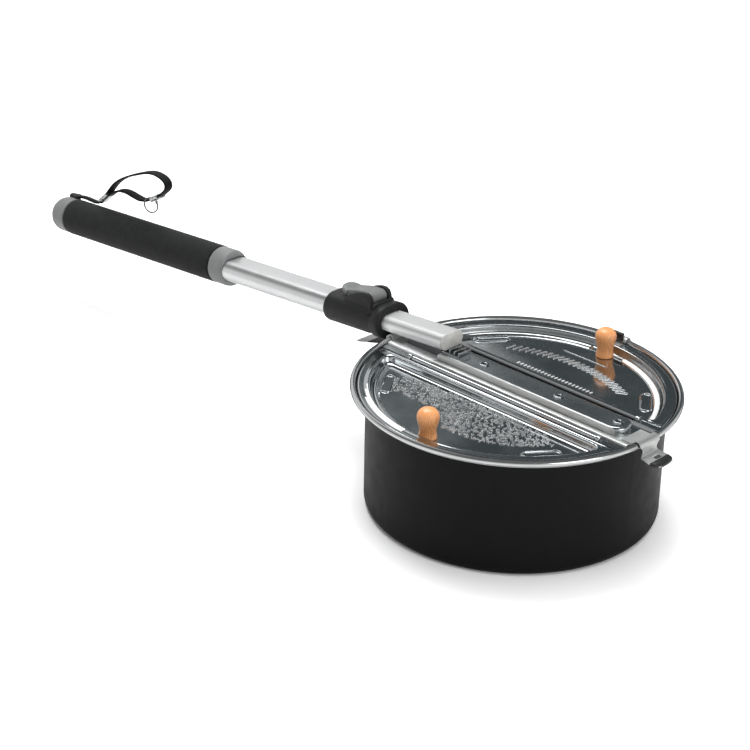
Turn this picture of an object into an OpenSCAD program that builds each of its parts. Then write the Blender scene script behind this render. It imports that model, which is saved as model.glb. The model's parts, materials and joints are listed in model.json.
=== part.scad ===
// Campfire popcorn popper: a black pan, a lid of two hinged flaps on a bridge,
// and a telescoping handle with a flip lock, a foam grip and a wrist strap.
// X runs along the bridge away from the handle, Y across it and Z up.
// The origin is the centre of the pan's base. Sizes are in millimetres.

/* [Pan] */
// Outer radius of the pan's wall
pan_r = 115; // [95:1:140]
// Height from the base to the top face of the pan's flange
pan_h = 98; // [80:1:140]
// Sheet thickness of the pan
pan_t = 1.6; // [1:0.1:2.5]
// Outer radius of the bend between base and wall
pan_bend_r = 7; // [3:0.5:15]
// Width of the flat flange outside the wall
flange_w = 7.4; // [6:0.1:12]
// Radius of the bead rolled round the rim
bead_r = 2.3; // [1.6:0.1:3]
// Height of the bead's centre over the flange's top face
bead_rise = 1.3; // [0.8:0.1:1.6]

/* [Lid flaps] */
// Sheet thickness of the flaps
lid_t = 1; // [0.8:0.1:1.4]
// Clearance between the lid and the pan's flange
lid_gap = 0.3; // [0.2:0.1:0.6]
// Clearance between the lid's edge and the bead
lid_edge_gap = 1; // [0.6:0.1:2]
// Clearance between a flap's dish and the pan's wall
dish_gap = 1; // [0.8:0.1:3]
// Depth of the dish under the flap's rim
dish_depth = 6.3; // [3:0.1:12]
// Width of the flat margin between the hinge side and the dish
dish_margin = 4; // [3:0.5:15]
// Width of the long curved beads in the dish
arc_bead_w = 6.4; // [4:0.2:8]
// Height of the long curved beads
arc_bead_h = 1.8; // [1:0.1:2.5]
// Distance of the curved beads' middle from the dish's wall
arc_bead_inset = 5.4; // [4.5:0.1:9]
// Angle between the bridge and a curved bead's end
arc_bead_start = 21; // [20:1:30]
// Angle left free on each side of the knob
arc_bead_stop = 8; // [6:1:15]
// Distance of the raised ovals from the dish's wall
oval_in = 15.4; // [15.4:0.2:22]
// Angle of the raised ovals from the bridge
oval_angle = 38; // [36:1:46]
// Length of a raised oval
oval_len = 27; // [18:1:27]
// Width of a raised oval
oval_w = 9; // [7:0.5:9]
// Width of a raised oval's ridge
oval_ridge = 1.7; // [1:0.1:2]
// Height of a raised oval's ridge
oval_h = 1.2; // [0.6:0.1:2]

/* [Knobs] */
// Distance of the knobs from the dish's wall
knob_in = 10.4; // [10.4:0.2:18]
// Offset of the knobs along the bridge
knob_x = 3.8; // [0:0.2:5]
// Height of a knob
knob_h = 24.5; // [18:0.5:26]
// Radius of a knob's round head
knob_r = 8.6; // [7:0.1:9.6]
// Radius of a knob's foot
knob_foot_r = 6.9; // [5:0.1:7.5]
// Radius of a knob's neck
knob_neck_r = 6.1; // [4:0.1:6.5]
// Diameter of the screw that holds a knob
knob_screw_d = 4; // [3:0.1:5]
// Length of the screw inside the knob
knob_screw_len = 12; // [8:0.5:14]

/* [Bridge] */
// Width of the bridge at its ends
bridge_w = 50; // [49:0.5:51]
// Sheet thickness of the bridge
bridge_t = 1.2; // [1:0.1:1.6]
// Distance of the hinge lines from the bridge's middle
hinge_y = 23; // [22.5:0.1:24]
// Diameter of the hinge barrels
barrel_d = 5.2; // [4.6:0.1:5.4]
// Diameter of the hinge pins
hinge_pin_d = 2.5; // [2:0.1:3]
// Distance of the barrels from the lid's edge on the handle side
barrel_in_near = 34.4; // [30:0.2:45]
// Distance of the barrels from the lid's edge on the far side
barrel_in_far = 24.4; // [22:0.2:40]
// Length of the eyes that hold a hinge pin
eye_len = 3.4; // [2:0.2:5]
// Distance of the long ribs from the bridge's middle
rib_y = 15.6; // [15:0.1:16.5]
// Width of a long rib
rib_w = 3.6; // [2:0.1:4]
// Height of a long rib
rib_h = 1.3; // [0.6:0.1:1.6]
// Distance of the ribs' ends from the lid's edge
rib_in = 12.5; // [12:0.5:25]

/* [Spine bar] */
// Width of the bar on the bridge
bar_w = 23; // [18:0.5:24]
// Height of the bar
bar_h = 6.2; // [4:0.1:6.6]
// Sheet thickness of the bar
bar_t = 1.5; // [1:0.1:2]
// Distance of the bar's round end from the lid's edge
bar_in_far = 13.4; // [13:0.2:16]
// Distance of the outermost rivet from the bar's round end
rivet_end = 9.5; // [6:0.5:11]
// Distance between the far and the middle rivet
rivet_step_far = 57; // [40:1:60]
// Distance of the near rivet from the catch at the tube's end
rivet_catch_gap = 20.2; // [8:0.2:30]
// Diameter of the rivets' shanks
rivet_d = 4.4; // [3:0.1:5]
// Diameter of the rivets' heads
rivet_head_d = 8; // [6.5:0.1:9]
// Height of the rivets' heads
rivet_head_h = 1.1; // [0.8:0.1:1.6]

/* [Clips] */
// Width of the clips at the two ends of the bridge
clip_w = 22; // [16:0.5:22]
// Thickness of the clips' spring steel
clip_t = 0.9; // [0.6:0.1:1.2]
// Clearance between a clip and the bead
clip_gap = 0.75; // [0.7:0.05:1.2]
// Height of a clip's leg below the bead's centre
clip_leg = 5.4; // [4:0.1:8]
// Height of the far clip's leg below the bead's centre
far_leg = 9; // [5:0.1:11]
// Length of the far clip's lip
far_lip_len = 16; // [15:0.5:22]
// Fall of the far clip's lip
far_lip_fall = 8; // [0:1:15]
// Length of the dipped tip on the far clip's lip
tip_len = 7; // [6:0.5:10]
// Thickness of the dipped coating
dip_t = 1.2; // [0.8:0.1:1.6]
// Length of the handle-side clip's lip
near_lip_len = 37; // [20:1:46]
// Fall of the handle-side clip's lip
near_lip_fall = 16; // [12:0.5:22]
// Width of the latch on the back flap
latch_w = 18; // [12:0.5:18]
// Height of the latch's thumb tab over the flap's rim
latch_tab_h = 8; // [6:0.5:10]

/* [Handle] */
// Droop of the handle away from the pan, in degrees
droop = 4.3; // [3.5:0.1:5]
// Distance of the tube's end from the lid's edge
tube_inset = 52.7; // [50:0.1:58]
// Clearance of the tube over the clip below it
tube_clear = 0.4; // [0.3:0.1:2]
// Width of the inner tube
inner_w = 25; // [22:0.2:26]
// Height of the inner tube
inner_h = 13.6; // [12:0.2:15]
// Wall of the inner tube
inner_wall = 1.3; // [1:0.1:1.8]
// Distance of the inner tube's end from the outer tube's end with the handle pushed in
inner_short = 35; // [20:1:60]
// Gap between the two tubes, filled by the bush
slide_gap = 0.8; // [0.6:0.1:1.2]
// Wall of the outer tube
outer_wall = 1.5; // [1:0.1:2]
// Travel of the telescope
travel = 300; // [100:10:310]

/* [Flip lock] */
// Distance of the lock's mouth from the rim
mouth_clear = 7; // [6:0.5:15]
// Length of the lock's sleeve
lock_len = 61; // [61:1:75]
// Wall of the lock's sleeve
lock_wall = 3.5; // [3:0.1:3.8]
// Length of the collar at the lock's mouth
mouth_len = 8; // [5:0.5:9]
// Thickness of the raised band at the lock's mouth
band_t = 0.9; // [0.4:0.1:1.2]
// Distance of the lever's pin from the mouth
pin_back = 16.4; // [16:0.2:18]
// Height of the lever's pin over the sleeve
pin_rise = 3.6; // [3.4:0.1:4.5]
// Diameter of the lever's pin
lever_pin_d = 4; // [3:0.1:4.4]
// Radius of the lever's cam
cam_r = 5.2; // [4.8:0.1:5.3]
// Throw of the cam
cam_throw = 0.3; // [0.1:0.1:0.4]
// Width of the lever between the cheeks
lever_w = 15.6; // [12:0.2:16]
// Length of the lever from pin to tip
lever_len = 35; // [33:0.5:42]
// Thickness of a cheek
cheek_t = 4; // [3:0.2:5]
// Diameter of the screws that hold the lock to the outer tube
lock_screw_d = 3.2; // [2.5:0.1:4]

/* [Grip] */
// Length of bare outer tube between the lock and the grip's collar
tube_show = 128.1; // [100:0.1:160]
// Length of the collar
collar_len = 18; // [12:0.2:30]
// Thickness of the round collar and end cap beside the tube
collar_wall = 1.25; // [1:0.05:2]
// Radius of the collar's rounded front edge
collar_round = 4; // [2:0.5:5]
// Length of the foam grip
grip_len = 207.6; // [150:0.2:230]
// Thickness of the round foam grip beside the tube
grip_wall = 1.6; // [1.3:0.05:4]
// Length of the end cap
cap_len = 19.6; // [18:0.2:28]
// Radius of the end cap's rounded edge
cap_round = 11.5; // [4:0.5:11.5]

/* [Strap] */
// Width of the strap's webbing
strap_w = 9; // [6:0.1:12]
// Thickness of the strap's webbing
strap_t = 1.8; // [1.2:0.1:2.4]
// Width of the strap's lead
lead_w = 5.2; // [3:0.1:6]
// Thickness of the strap's lead
lead_t = 2.2; // [1.5:0.1:2.6]
// Outer diameter of the split ring
ring_d = 15; // [9:0.5:20]
// Wire diameter of the split ring
ring_wire = 1.2; // [0.8:0.1:1.4]

/* [Fits] */
// Radial clearance of pieces that are pushed on or in
fit = 0.03; // [0.02:0.01:0.1]
// Radial clearance of pieces that turn or slide
run = 0.1; // [0.05:0.01:0.2]
// Side clearance of moving pieces
side = 0.6; // [0.4:0.1:0.8]

/* [Hidden] */
$fn = 64;

// Rim and lid
flange_r = pan_r + flange_w;
bead_c = flange_r + bead_r;
bead_z = pan_h + bead_rise;
rim_r = bead_c + bead_r;
lid_r = flange_r - lid_edge_gap;
lid_z = pan_h + lid_gap;
lid_top = lid_z + lid_t;
dish_r = pan_r - pan_t - dish_gap;
dish_floor = lid_top - dish_depth;
flap_y = bridge_w / 2 + 1;
dish_y = flap_y + dish_margin;
arc_r = dish_r - arc_bead_inset;
oval_r = dish_r - oval_in;
knob_y = dish_r - knob_in;
knob_turn = atan(knob_x / knob_y);
arc_ball = (pow(arc_bead_w / 2, 2) + pow(arc_bead_h, 2)) / (2 * arc_bead_h);

// Bridge, hinges and bar
bridge_top = lid_z + bridge_t;
hinge_z = lid_z + 1.7;
barrel_x0 = -(lid_r - barrel_in_near);
barrel_x1 = lid_r - barrel_in_far;
waist_y = hinge_y - barrel_d / 2 - side;
bar_x0 = -(lid_r - tube_inset) - 3.6;
bar_x1 = lid_r - bar_in_far;
bar_top = bridge_top + bar_h;
catch_sheet = 1.1;
catch_step = 4.7;
catch_x0 = -(lid_r - tube_inset) + 4.5;
catch_x1 = catch_x0 + 2 * catch_step + catch_sheet;
rivet_far_x = bar_x1 - rivet_end;
rivet_x = [rivet_far_x, rivet_far_x - rivet_step_far, catch_x1 + rivet_catch_gap];

// Clips over the bead
clip_in = bead_r + clip_gap;
clip_out = clip_in + clip_t;
clip_top = bead_z + clip_out;
clip_split = bead_c - clip_out;
lip_x = bead_c + clip_in;
root_len = 10;
slot_w = 7;
slot_len = 4.4;
latch_split = clip_split - 1.8;
tab_t = 1.1;

// Handle frame: the tube's axis starts at the lid end and runs along -x
tube_end_x = -(lid_r - tube_inset);
tube_end_z = clip_top + tube_clear + inner_h / 2 / cos(droop) + (bead_c + tube_end_x) * tan(droop);
block_x0 = -(clip_split - root_len - side);
block_x1 = bar_x0 - 1.2;
block_w = min(11, inner_w - inner_h - 0.4);
block_screw_x = [block_x0 + 8, block_x1 - 8];
block_screw_d = 3.5;
block_screw_depth = 3.4;
block_mid = (block_x0 + block_x1) / 2;
tube_screw_d = 3;
tube_screw_depth = 2.6;
outer_w = inner_w + 2 * (slide_gap + outer_wall);
outer_h = inner_h + 2 * (slide_gap + outer_wall);
mouth_x = -(rim_r + mouth_clear + tube_end_x) / cos(droop);
lock_x0 = mouth_x - lock_len;
lock_w = outer_w + 2 * (fit + lock_wall);
lock_h = outer_h + 2 * (fit + lock_wall);
outer_x1 = mouth_x - mouth_len;
pin_x = mouth_x - pin_back;
pin_h = lock_h / 2 + pin_rise;
cheek_y = lever_w / 2 + side;
shoe_top = pin_h - cam_r - cam_throw - run;
lever_tip = pin_x - lever_len;
cheek_back = lever_tip + 9;
lock_screw_x = pin_x + 6.3;
lock_screw_h = outer_h * 0.42;
collar_x1 = lock_x0 - tube_show;
grip_x1 = collar_x1 - collar_len;
cap_x1 = grip_x1 - grip_len;
cap_depth = cap_len - 10;
outer_x0 = cap_x1 - cap_depth;
inner_len = -outer_x0 - inner_short;
collar_d = outer_w + 2 * (fit + collar_wall);
grip_d = outer_w + 2 * (fit + grip_wall);

// Wrist strap: its plane lies beside the handle's middle, and the points are x and height
strap_y = 8;
strap_h = sqrt(pow(collar_d / 2, 2) - pow(strap_y, 2));
strap_sides = 8;
lug_back = 13;
lug_len = 10;
lug_w = 5;
lug_h = 4.4;
lead_route = [[-4, 2.8], [3, 3.8], [10, 4], [17, 3.4], [23, 3], [28, 3.6], [31.5, 5], [34.2, 7]];
ferrule_at = [39.7, 11];
ferrule_turn = 36;
ferrule_len = 16;
ferrule_w = strap_w + 1.4;
ferrule_t = 5;
loop_route = [[44.7, 16.1], [53.7, 25], [60.7, 30.4], [67.7, 34.4], [75.2, 37.8], [83.2, 40.8],
    [93.2, 44], [103.2, 47], [111.2, 48.4], [118.2, 48.4], [125.2, 47], [130.7, 44], [132.2, 40],
    [129.7, 35.8], [124.2, 31.5], [118.2, 27.6], [111.2, 24.3], [102.2, 21], [92.2, 19.8],
    [83.2, 21.2], [74.2, 22.8], [64.2, 22.4], [54.2, 19], [46.1, 14.1]];
crimp_at = [115.2, 26.2];
crimp_turn = 27;
crimp_len = 11;
crimp_w = strap_w + 2.4;
crimp_t = 4.6;
crimp_eye = 1.6;
crimp_eye_x = -3.8;

module stadium(w, h) {
    for (s = [-1, 1]) translate([s * (w - h) / 2, 0]) circle(d = h);
    square([w - h, h], center = true);
}

// Lays an outline across the X axis, from x0 to x1
module along_x(x0, x1) {
    translate([x0, 0, 0]) rotate([90, 0, 90]) linear_extrude(x1 - x0) children();
}

// Stands an outline drawn in X and Z up, with its thickness across Y
module across_y(w) {
    rotate([90, 0, 0]) linear_extrude(w, center = true) children();
}

module rod_x(x0, x1, d) {
    translate([x0, 0, 0]) rotate([0, 90, 0]) cylinder(d = d, h = x1 - x0);
}

module rod_y(len, d) {
    rotate([90, 0, 0]) cylinder(d = d, h = len, center = true);
}

// Turns a half outline, drawn in x and radius, round the X axis
module turned_x() {
    rotate([0, 90, 0]) rotate_extrude() mirror([1, -1]) children();
}

// Half outline of a plug with a flat end at x = 0 and a rounded edge at its other end
module plug_outline(len, r, round) {
    square([len - round, r]);
    square([len, r - round]);
    translate([len - round, r - round]) intersection() {
        circle(round);
        square(round);
    }
}

module on_handle() {
    translate([tube_end_x, 0, tube_end_z]) rotate([0, -droop, 0]) children();
}

module half_disc(r, y0) {
    intersection() {
        circle(r);
        translate([-r, y0]) square([2 * r, r]);
    }
}

// The pan: one pressed shell with a flat flange
module pan() {
    color("#2c2c2d") rotate_extrude() {
        square([pan_r - pan_bend_r, pan_t]);
        translate([pan_r - pan_bend_r, pan_bend_r]) intersection() {
            difference() {
                circle(pan_bend_r);
                circle(pan_bend_r - pan_t);
            }
            translate([0, -pan_bend_r]) square(pan_bend_r);
        }
        translate([pan_r - pan_t, pan_bend_r]) square([pan_t, pan_h - pan_bend_r]);
        translate([pan_r - pan_t, pan_h - pan_t]) square([pan_t + flange_w, pan_t]);
    }
}

// The bright bead round the flange
module pan_rim() {
    color("#d9dcdd") rotate_extrude() {
        translate([bead_c, bead_z]) circle(bead_r);
        translate([flange_r, pan_h - pan_t]) square([bead_r, bead_z - pan_h + pan_t]);
    }
}

module rib() {
    ball = (pow(rib_w / 2, 2) + pow(rib_h, 2)) / (2 * rib_h);
    along_x(-(lid_r - rib_in), lid_r - rib_in) intersection() {
        translate([0, rib_h - ball]) circle(ball);
        translate([-rib_w / 2, -0.2]) square([rib_w, rib_h + 0.2]);
    }
}

// The strip across the pan, with ribs and the eyes that hold the hinge pins
module bridge() {
    color("#c9cdcf") difference() {
        union() {
            translate([0, 0, lid_z]) linear_extrude(bridge_t) difference() {
                intersection() {
                    circle(lid_r);
                    square([2 * lid_r, bridge_w], center = true);
                }
                for (s = [-1, 1]) translate([barrel_x0 - side, s > 0 ? waist_y : -waist_y - bridge_w])
                    square([barrel_x1 - barrel_x0 + 2 * side, bridge_w]);
            }
            for (s = [-1, 1]) {
                translate([0, s * rib_y, bridge_top]) rib();
                translate([0, s * hinge_y, hinge_z]) {
                    rod_x(barrel_x0 - side - eye_len, barrel_x0 - side, barrel_d);
                    rod_x(barrel_x1 + side, barrel_x1 + side + eye_len, barrel_d);
                }
            }
        }
        for (s = [-1, 1]) translate([0, s * hinge_y, hinge_z])
            rod_x(-lid_r, lid_r, hinge_pin_d + 2 * fit);
        for (x = rivet_x) translate([x, 0, lid_z - 1]) cylinder(d = rivet_d + 2 * fit, h = bridge_t + 2);
        for (x = block_screw_x) translate([x, 0, lid_z - 1])
            cylinder(d = block_screw_d + 2 * fit, h = bridge_t + 2);
    }
}

module hinge_pin(s) {
    end = side + eye_len + 0.6;
    color("#b9bdbf") translate([0, s * hinge_y, hinge_z])
        rod_x(barrel_x0 - end, barrel_x1 + end, hinge_pin_d);
}

module front_hinge_pin() { hinge_pin(-1); }

module back_hinge_pin() { hinge_pin(1); }

module bar_outline(x0, x1, w) {
    translate([x0, -w / 2]) square([x1 - x0 - w / 2, w]);
    translate([x1 - w / 2, 0]) circle(d = w);
}

// The channel-shaped bar along the bridge's middle
module spine_bar() {
    color("#59636a") translate([0, 0, bridge_top]) difference() {
        linear_extrude(bar_h) bar_outline(bar_x0, bar_x1, bar_w);
        translate([0, 0, -1]) linear_extrude(bar_h - bar_t + 1)
            bar_outline(bar_x0 + bar_t, bar_x1 - bar_t, bar_w - 2 * bar_t);
        for (x = rivet_x) translate([x, 0, 0]) cylinder(d = rivet_d + 2 * fit, h = bar_h + 1);
    }
}

// Tubular rivets through bar and bridge
module bar_rivets() {
    foot = 1;
    color("#aab0b3") for (x = rivet_x) translate([x, 0, 0]) difference() {
        union() {
            translate([0, 0, bar_top])
                cylinder(d1 = rivet_head_d, d2 = rivet_head_d * 0.7, h = rivet_head_h);
            translate([0, 0, lid_z - foot]) cylinder(d = rivet_d, h = bar_top - lid_z + foot);
            translate([0, 0, lid_z - foot]) cylinder(d = rivet_head_d * 0.8, h = foot);
        }
        translate([0, 0, bar_top - bar_h / 2]) cylinder(d = rivet_d / 2, h = bar_h);
    }
}

// Underside of the inner tube at a place along X
function tube_under(x) = tube_end_z + (x - tube_end_x) * tan(droop) - inner_h / 2 / cos(droop);

// The wedge that carries the tube on the bridge
module tube_block() {
    color("#8d9295") difference() {
        across_y(block_w) polygon([[block_x0, bridge_top], [block_x1, bridge_top],
            [block_x1, tube_under(block_x1) - fit], [block_x0, tube_under(block_x0) - fit]]);
        for (x = block_screw_x) translate([x, 0, lid_z]) cylinder(d = block_screw_d + 2 * fit,
            h = bridge_t + block_screw_depth + 0.2);
        on_handle() tube_screw_places() translate([0, 0, -inner_h / 2 - tube_screw_depth - 0.2])
            cylinder(d = tube_screw_d + 2 * fit, h = inner_h / 2);
    }
}

// Screws from under the bridge into the block
module block_screws() {
    head = 1.4;
    color("#a0a5a8") for (x = block_screw_x) translate([x, 0, 0]) {
        translate([0, 0, lid_z - head]) cylinder(d = 2 * block_screw_d, h = head);
        translate([0, 0, lid_z - head]) cylinder(d = block_screw_d, h = head + bridge_t + block_screw_depth);
    }
}

module tube_screw_places() {
    for (x = [block_mid - 5.4, block_mid + 5.4]) translate([(x - tube_end_x) / cos(droop), 0, 0]) children();
}

module tube_screws() {
    head = 1.6;
    floor_h = -inner_h / 2 + inner_wall;
    color("#a0a5a8") on_handle() tube_screw_places() {
        translate([0, 0, floor_h]) cylinder(d = 2 * tube_screw_d, h = head);
        translate([0, 0, -inner_h / 2 - tube_screw_depth])
            cylinder(d = tube_screw_d, h = inner_wall + tube_screw_depth + head / 2);
    }
}

// Folded catch at the tube's end, with three upright lips
module tube_catch() {
    width = 14;
    lip_h = 3.4;
    color("#b4b9bb") {
        translate([bar_x0 + 1, -width / 2, bar_top]) cube([catch_x1 - bar_x0 - 1, width, catch_sheet]);
        for (k = [0:2]) translate([catch_x0 + k * catch_step, -width / 2, bar_top])
            cube([catch_sheet, width, lip_h + catch_sheet * (k == 2 ? 1.4 : 1)]);
    }
}

// The part of a clip that rolls over the bead and goes down outside it, drawn in radius and height
module over_bead(foot, leg) {
    intersection() {
        translate([bead_c, bead_z]) difference() {
            circle(clip_out);
            circle(clip_in);
        }
        translate([clip_split, foot]) square(4 * clip_out);
    }
    translate([lip_x, bead_z - leg]) square([clip_t, foot - bead_z + leg]);
}

module lip(len, fall, leg) {
    translate([lip_x, bead_z - leg]) {
        rotate(-fall) square([len, clip_t]);
        square([clip_t, clip_t]);
    }
}

// The fixed clip on the handle side
module near_clip() {
    corner = clip_w / 8;
    lip_end = lip_x + near_lip_len * cos(near_lip_fall) + clip_t * sin(near_lip_fall);
    color("#c4c9cb") mirror([1, 0, 0]) difference() {
        across_y(clip_w) {
            over_bead(bridge_top, clip_leg);
            lip(near_lip_len, near_lip_fall, clip_leg);
            translate([clip_split - root_len, bridge_top]) square([root_len + clip_t, clip_t]);
        }
        for (s = [-1, 1]) translate([lip_end, s * clip_w / 2, bead_z]) rotate([0, 0, 45])
            cube([corner, corner, 4 * near_lip_len], center = true);
    }
}

// The flat root of the far clip on the bridge
module clip_root() {
    color("#ccd0d1") translate([clip_split - root_len, -clip_w / 2, bridge_top])
        cube([root_len - lid_gap, clip_w, clip_t]);
}

module far_lip_slot() {
    translate([lip_x + far_lip_len - tip_len - slot_len / 2 - 1, slot_w / 2 - 1.5, bead_z - far_leg])
        cube([slot_len, slot_w, 4 * clip_t + 6], center = true);
}

// The sprung far clip, drawn in at its leg
module far_clip() {
    waist_r = 9;
    color("#ccd0d1") difference() {
        across_y(clip_w) {
            over_bead(bridge_top + lid_gap, far_leg);
            lip(far_lip_len, far_lip_fall, far_leg);
        }
        for (s = [-1, 1]) translate([lip_x, s * (clip_w / 2 + waist_r - 2.2), bead_z - far_leg / 2])
            rotate([0, 90, 0]) cylinder(r = waist_r, h = 4 * clip_t, center = true);
        far_lip_slot();
    }
}

// The dipped tip round the end of the far clip's lip
module clip_tip() {
    color("#1d1d1e") translate([lip_x, 0, bead_z - far_leg]) rotate([0, far_lip_fall, 0]) difference() {
        translate([far_lip_len - tip_len, 0, -dip_t]) intersection() {
            translate([0, -clip_w / 2, 0]) cube([tip_len + dip_t, clip_w, clip_t + 2 * dip_t]);
            translate([tip_len + dip_t - clip_w / 2, 0, 0])
                cylinder(d = clip_w + 0.01, h = clip_t + 2 * dip_t);
        }
        translate([0, -clip_w, -fit]) cube([far_lip_len + fit, 2 * clip_w, clip_t + 2 * fit]);
    }
}

module oval_ridge_ring() {
    difference() {
        stadium(oval_len, oval_w);
        stadium(oval_len - 2 * oval_ridge, oval_w - 2 * oval_ridge);
    }
}

module arc_bead(a0, a1) {
    rotate(a0) rotate_extrude(angle = a1 - a0) intersection() {
        translate([arc_r, arc_bead_h - arc_ball]) circle(arc_ball);
        translate([arc_r - arc_bead_w / 2, -lid_t / 2]) square([arc_bead_w, arc_bead_h + lid_t / 2]);
    }
}

// A flap: a rim on the flange, a dish inside it, a rolled hinge barrel and raised beads
module flap() {
    difference() {
        union() {
            translate([0, 0, lid_z]) linear_extrude(lid_t) {
                half_disc(lid_r, flap_y);
                translate([barrel_x0, hinge_y]) square([barrel_x1 - barrel_x0, flap_y - hinge_y + 1]);
            }
            translate([0, 0, dish_floor - lid_t]) linear_extrude(dish_depth + lid_t)
                half_disc(dish_r, dish_y);
            translate([0, hinge_y, hinge_z]) rod_x(barrel_x0, barrel_x1, barrel_d);
        }
        translate([0, 0, dish_floor]) linear_extrude(2 * dish_depth)
            half_disc(dish_r - lid_t, dish_y + lid_t);
        translate([0, hinge_y, hinge_z]) rod_x(barrel_x0 - 1, barrel_x1 + 1, hinge_pin_d + 2 * run);
        translate([knob_x, knob_y, dish_floor - 2 * lid_t])
            cylinder(d = knob_screw_d + 2 * run, h = 4 * lid_t);
    }
    translate([0, 0, dish_floor]) {
        arc_bead(arc_bead_start, 90 - knob_turn - arc_bead_stop);
        arc_bead(90 - knob_turn + arc_bead_stop, 180 - arc_bead_start);
        for (a = [oval_angle, 180 - oval_angle]) rotate(a) translate([oval_r, 0, -lid_t / 2]) rotate(90)
            linear_extrude(oval_h + lid_t / 2) oval_ridge_ring();
    }
}

module front_flap() { color("#6a767d") mirror([0, 1, 0]) flap(); }

module back_flap() { color("#6a767d") flap(); }

// A turned wooden knob with a round head and a slightly flared foot
module knob() {
    head_z = knob_h - knob_r;
    neck_z = knob_h * 0.28;
    color("#cd8a58") translate([knob_x, knob_y, dish_floor]) difference() {
        rotate_extrude() {
            intersection() {
                translate([0, head_z]) circle(knob_r);
                translate([0, neck_z]) square([knob_r, knob_h]);
            }
            polygon([[0, 0], [knob_foot_r, 0], [knob_neck_r, neck_z * 0.5], [knob_neck_r, neck_z],
                [knob_r * cos(20), head_z - knob_r * sin(20)], [0, head_z]]);
        }
        translate([0, 0, -1]) cylinder(d = knob_screw_d + 2 * fit, h = knob_screw_len + 1.4);
    }
}

module front_knob() { mirror([0, 1, 0]) knob(); }

module back_knob() { knob(); }

module knob_screw() {
    head = 1.8;
    color("#b0b5b7") translate([knob_x, knob_y, dish_floor - lid_t - head]) {
        cylinder(d1 = 1.8 * knob_screw_d, d2 = 2.2 * knob_screw_d, h = head);
        cylinder(d = knob_screw_d, h = head + lid_t + knob_screw_len);
    }
}

module front_knob_screw() { mirror([0, 1, 0]) knob_screw(); }

module back_knob_screw() { knob_screw(); }

// The latch's flat root on the back flap's rim
module latch_root() {
    color("#c4c9cb") translate([-latch_w / 2, dish_r + side, lid_top])
        cube([latch_w, latch_split - lid_gap - dish_r - side, clip_t]);
}

// The sprung latch over the bead with its upright thumb tab
module rear_latch() {
    foot = lid_top + lid_gap;
    color("#c4c9cb") rotate([0, 0, 90]) across_y(latch_w) {
        over_bead(foot, clip_leg);
        translate([latch_split, foot]) square([bead_c - clip_in - latch_split, clip_t]);
        translate([latch_split, foot]) square([tab_t, lid_top + latch_tab_h - foot]);
    }
}

// The dipped cover on the thumb tab
module latch_cover() {
    start = 2.4;
    color("#1d1d1e") translate([0, latch_split, lid_top + start]) difference() {
        translate([-latch_w / 2 + 0.8, -dip_t, 0])
            cube([latch_w - 1.6, tab_t + 2 * dip_t, latch_tab_h - start + dip_t]);
        translate([-latch_w, -fit, -1]) cube([2 * latch_w, tab_t + 2 * fit, latch_tab_h - start + 1 + fit]);
    }
}

// The inner tube, fixed to the lid
module inner_tube() {
    color("#dfe2e3") on_handle() difference() {
        along_x(-inner_len, 0) difference() {
            stadium(inner_w, inner_h);
            stadium(inner_w - 2 * inner_wall, inner_h - 2 * inner_wall);
        }
        tube_screw_places() translate([0, 0, -inner_h / 2 - 1])
            cylinder(d = tube_screw_d + 2 * fit, h = inner_wall + 2);
    }
}

module tube_plug() {
    color("#b9bab8") on_handle() {
        along_x(-10, 0.5) stadium(inner_w - 2 * (inner_wall + fit), inner_h - 2 * (inner_wall + fit));
        along_x(0, 1.2) stadium(inner_w, inner_h);
    }
}

// The bush on the inner tube's end, which runs in the outer tube
module inner_bush() {
    color("#e8e6dc") on_handle() along_x(-inner_len - 2, -inner_len + 20) difference() {
        stadium(outer_w - 2 * (outer_wall + run), outer_h - 2 * (outer_wall + run));
        stadium(inner_w + 2 * fit, inner_h + 2 * fit);
    }
}

module outer_tube() {
    color("#d5d9da") on_handle() along_x(outer_x0, outer_x1) difference() {
        stadium(outer_w, outer_h);
        stadium(outer_w - 2 * outer_wall, outer_h - 2 * outer_wall);
    }
}

// One of the two cheeks that hold the lever, drawn in x and height
module cheek() {
    front = pin_x + cam_r + 1;
    polygon([[cheek_back, 0], [cheek_back, lock_h / 2 + 0.6], [cheek_back + 6, lock_h / 2 + 4.4],
        [pin_x - 9, lock_h / 2 + 7.4], [pin_x, lock_h / 2 + 8.4], [pin_x + 4, lock_h / 2 + 7],
        [front, lock_h / 2 + 3.6], [front, 0]]);
}

// The lock's sleeve with cheeks, a slot for the cam and a narrower mouth for the inner tube
module lock_body() {
    color("#343637") on_handle() difference() {
        union() {
            along_x(lock_x0, mouth_x) stadium(lock_w, lock_h);
            along_x(mouth_x - mouth_len, mouth_x) stadium(lock_w + 2 * band_t, lock_h + 2 * band_t);
            for (s = [-1, 1]) translate([0, s * (cheek_y + cheek_t / 2), 0]) across_y(cheek_t) cheek();
        }
        along_x(lock_x0 - 1, outer_x1 + run) stadium(outer_w + 2 * fit, outer_h + 2 * fit);
        along_x(outer_x1, mouth_x + 1) stadium(inner_w + slide_gap, inner_h + slide_gap);
        translate([pin_x - cam_r - 1.2, -cheek_y, outer_h / 2]) cube([2 * cam_r + 2.2, 2 * cheek_y, lock_h]);
        translate([pin_x, 0, pin_h]) rod_y(4 * lever_w, lever_pin_d + 2 * fit);
        lock_screw_places(0.6) rod_y(1, lock_screw_d + 2 * fit);
    }
}

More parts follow.
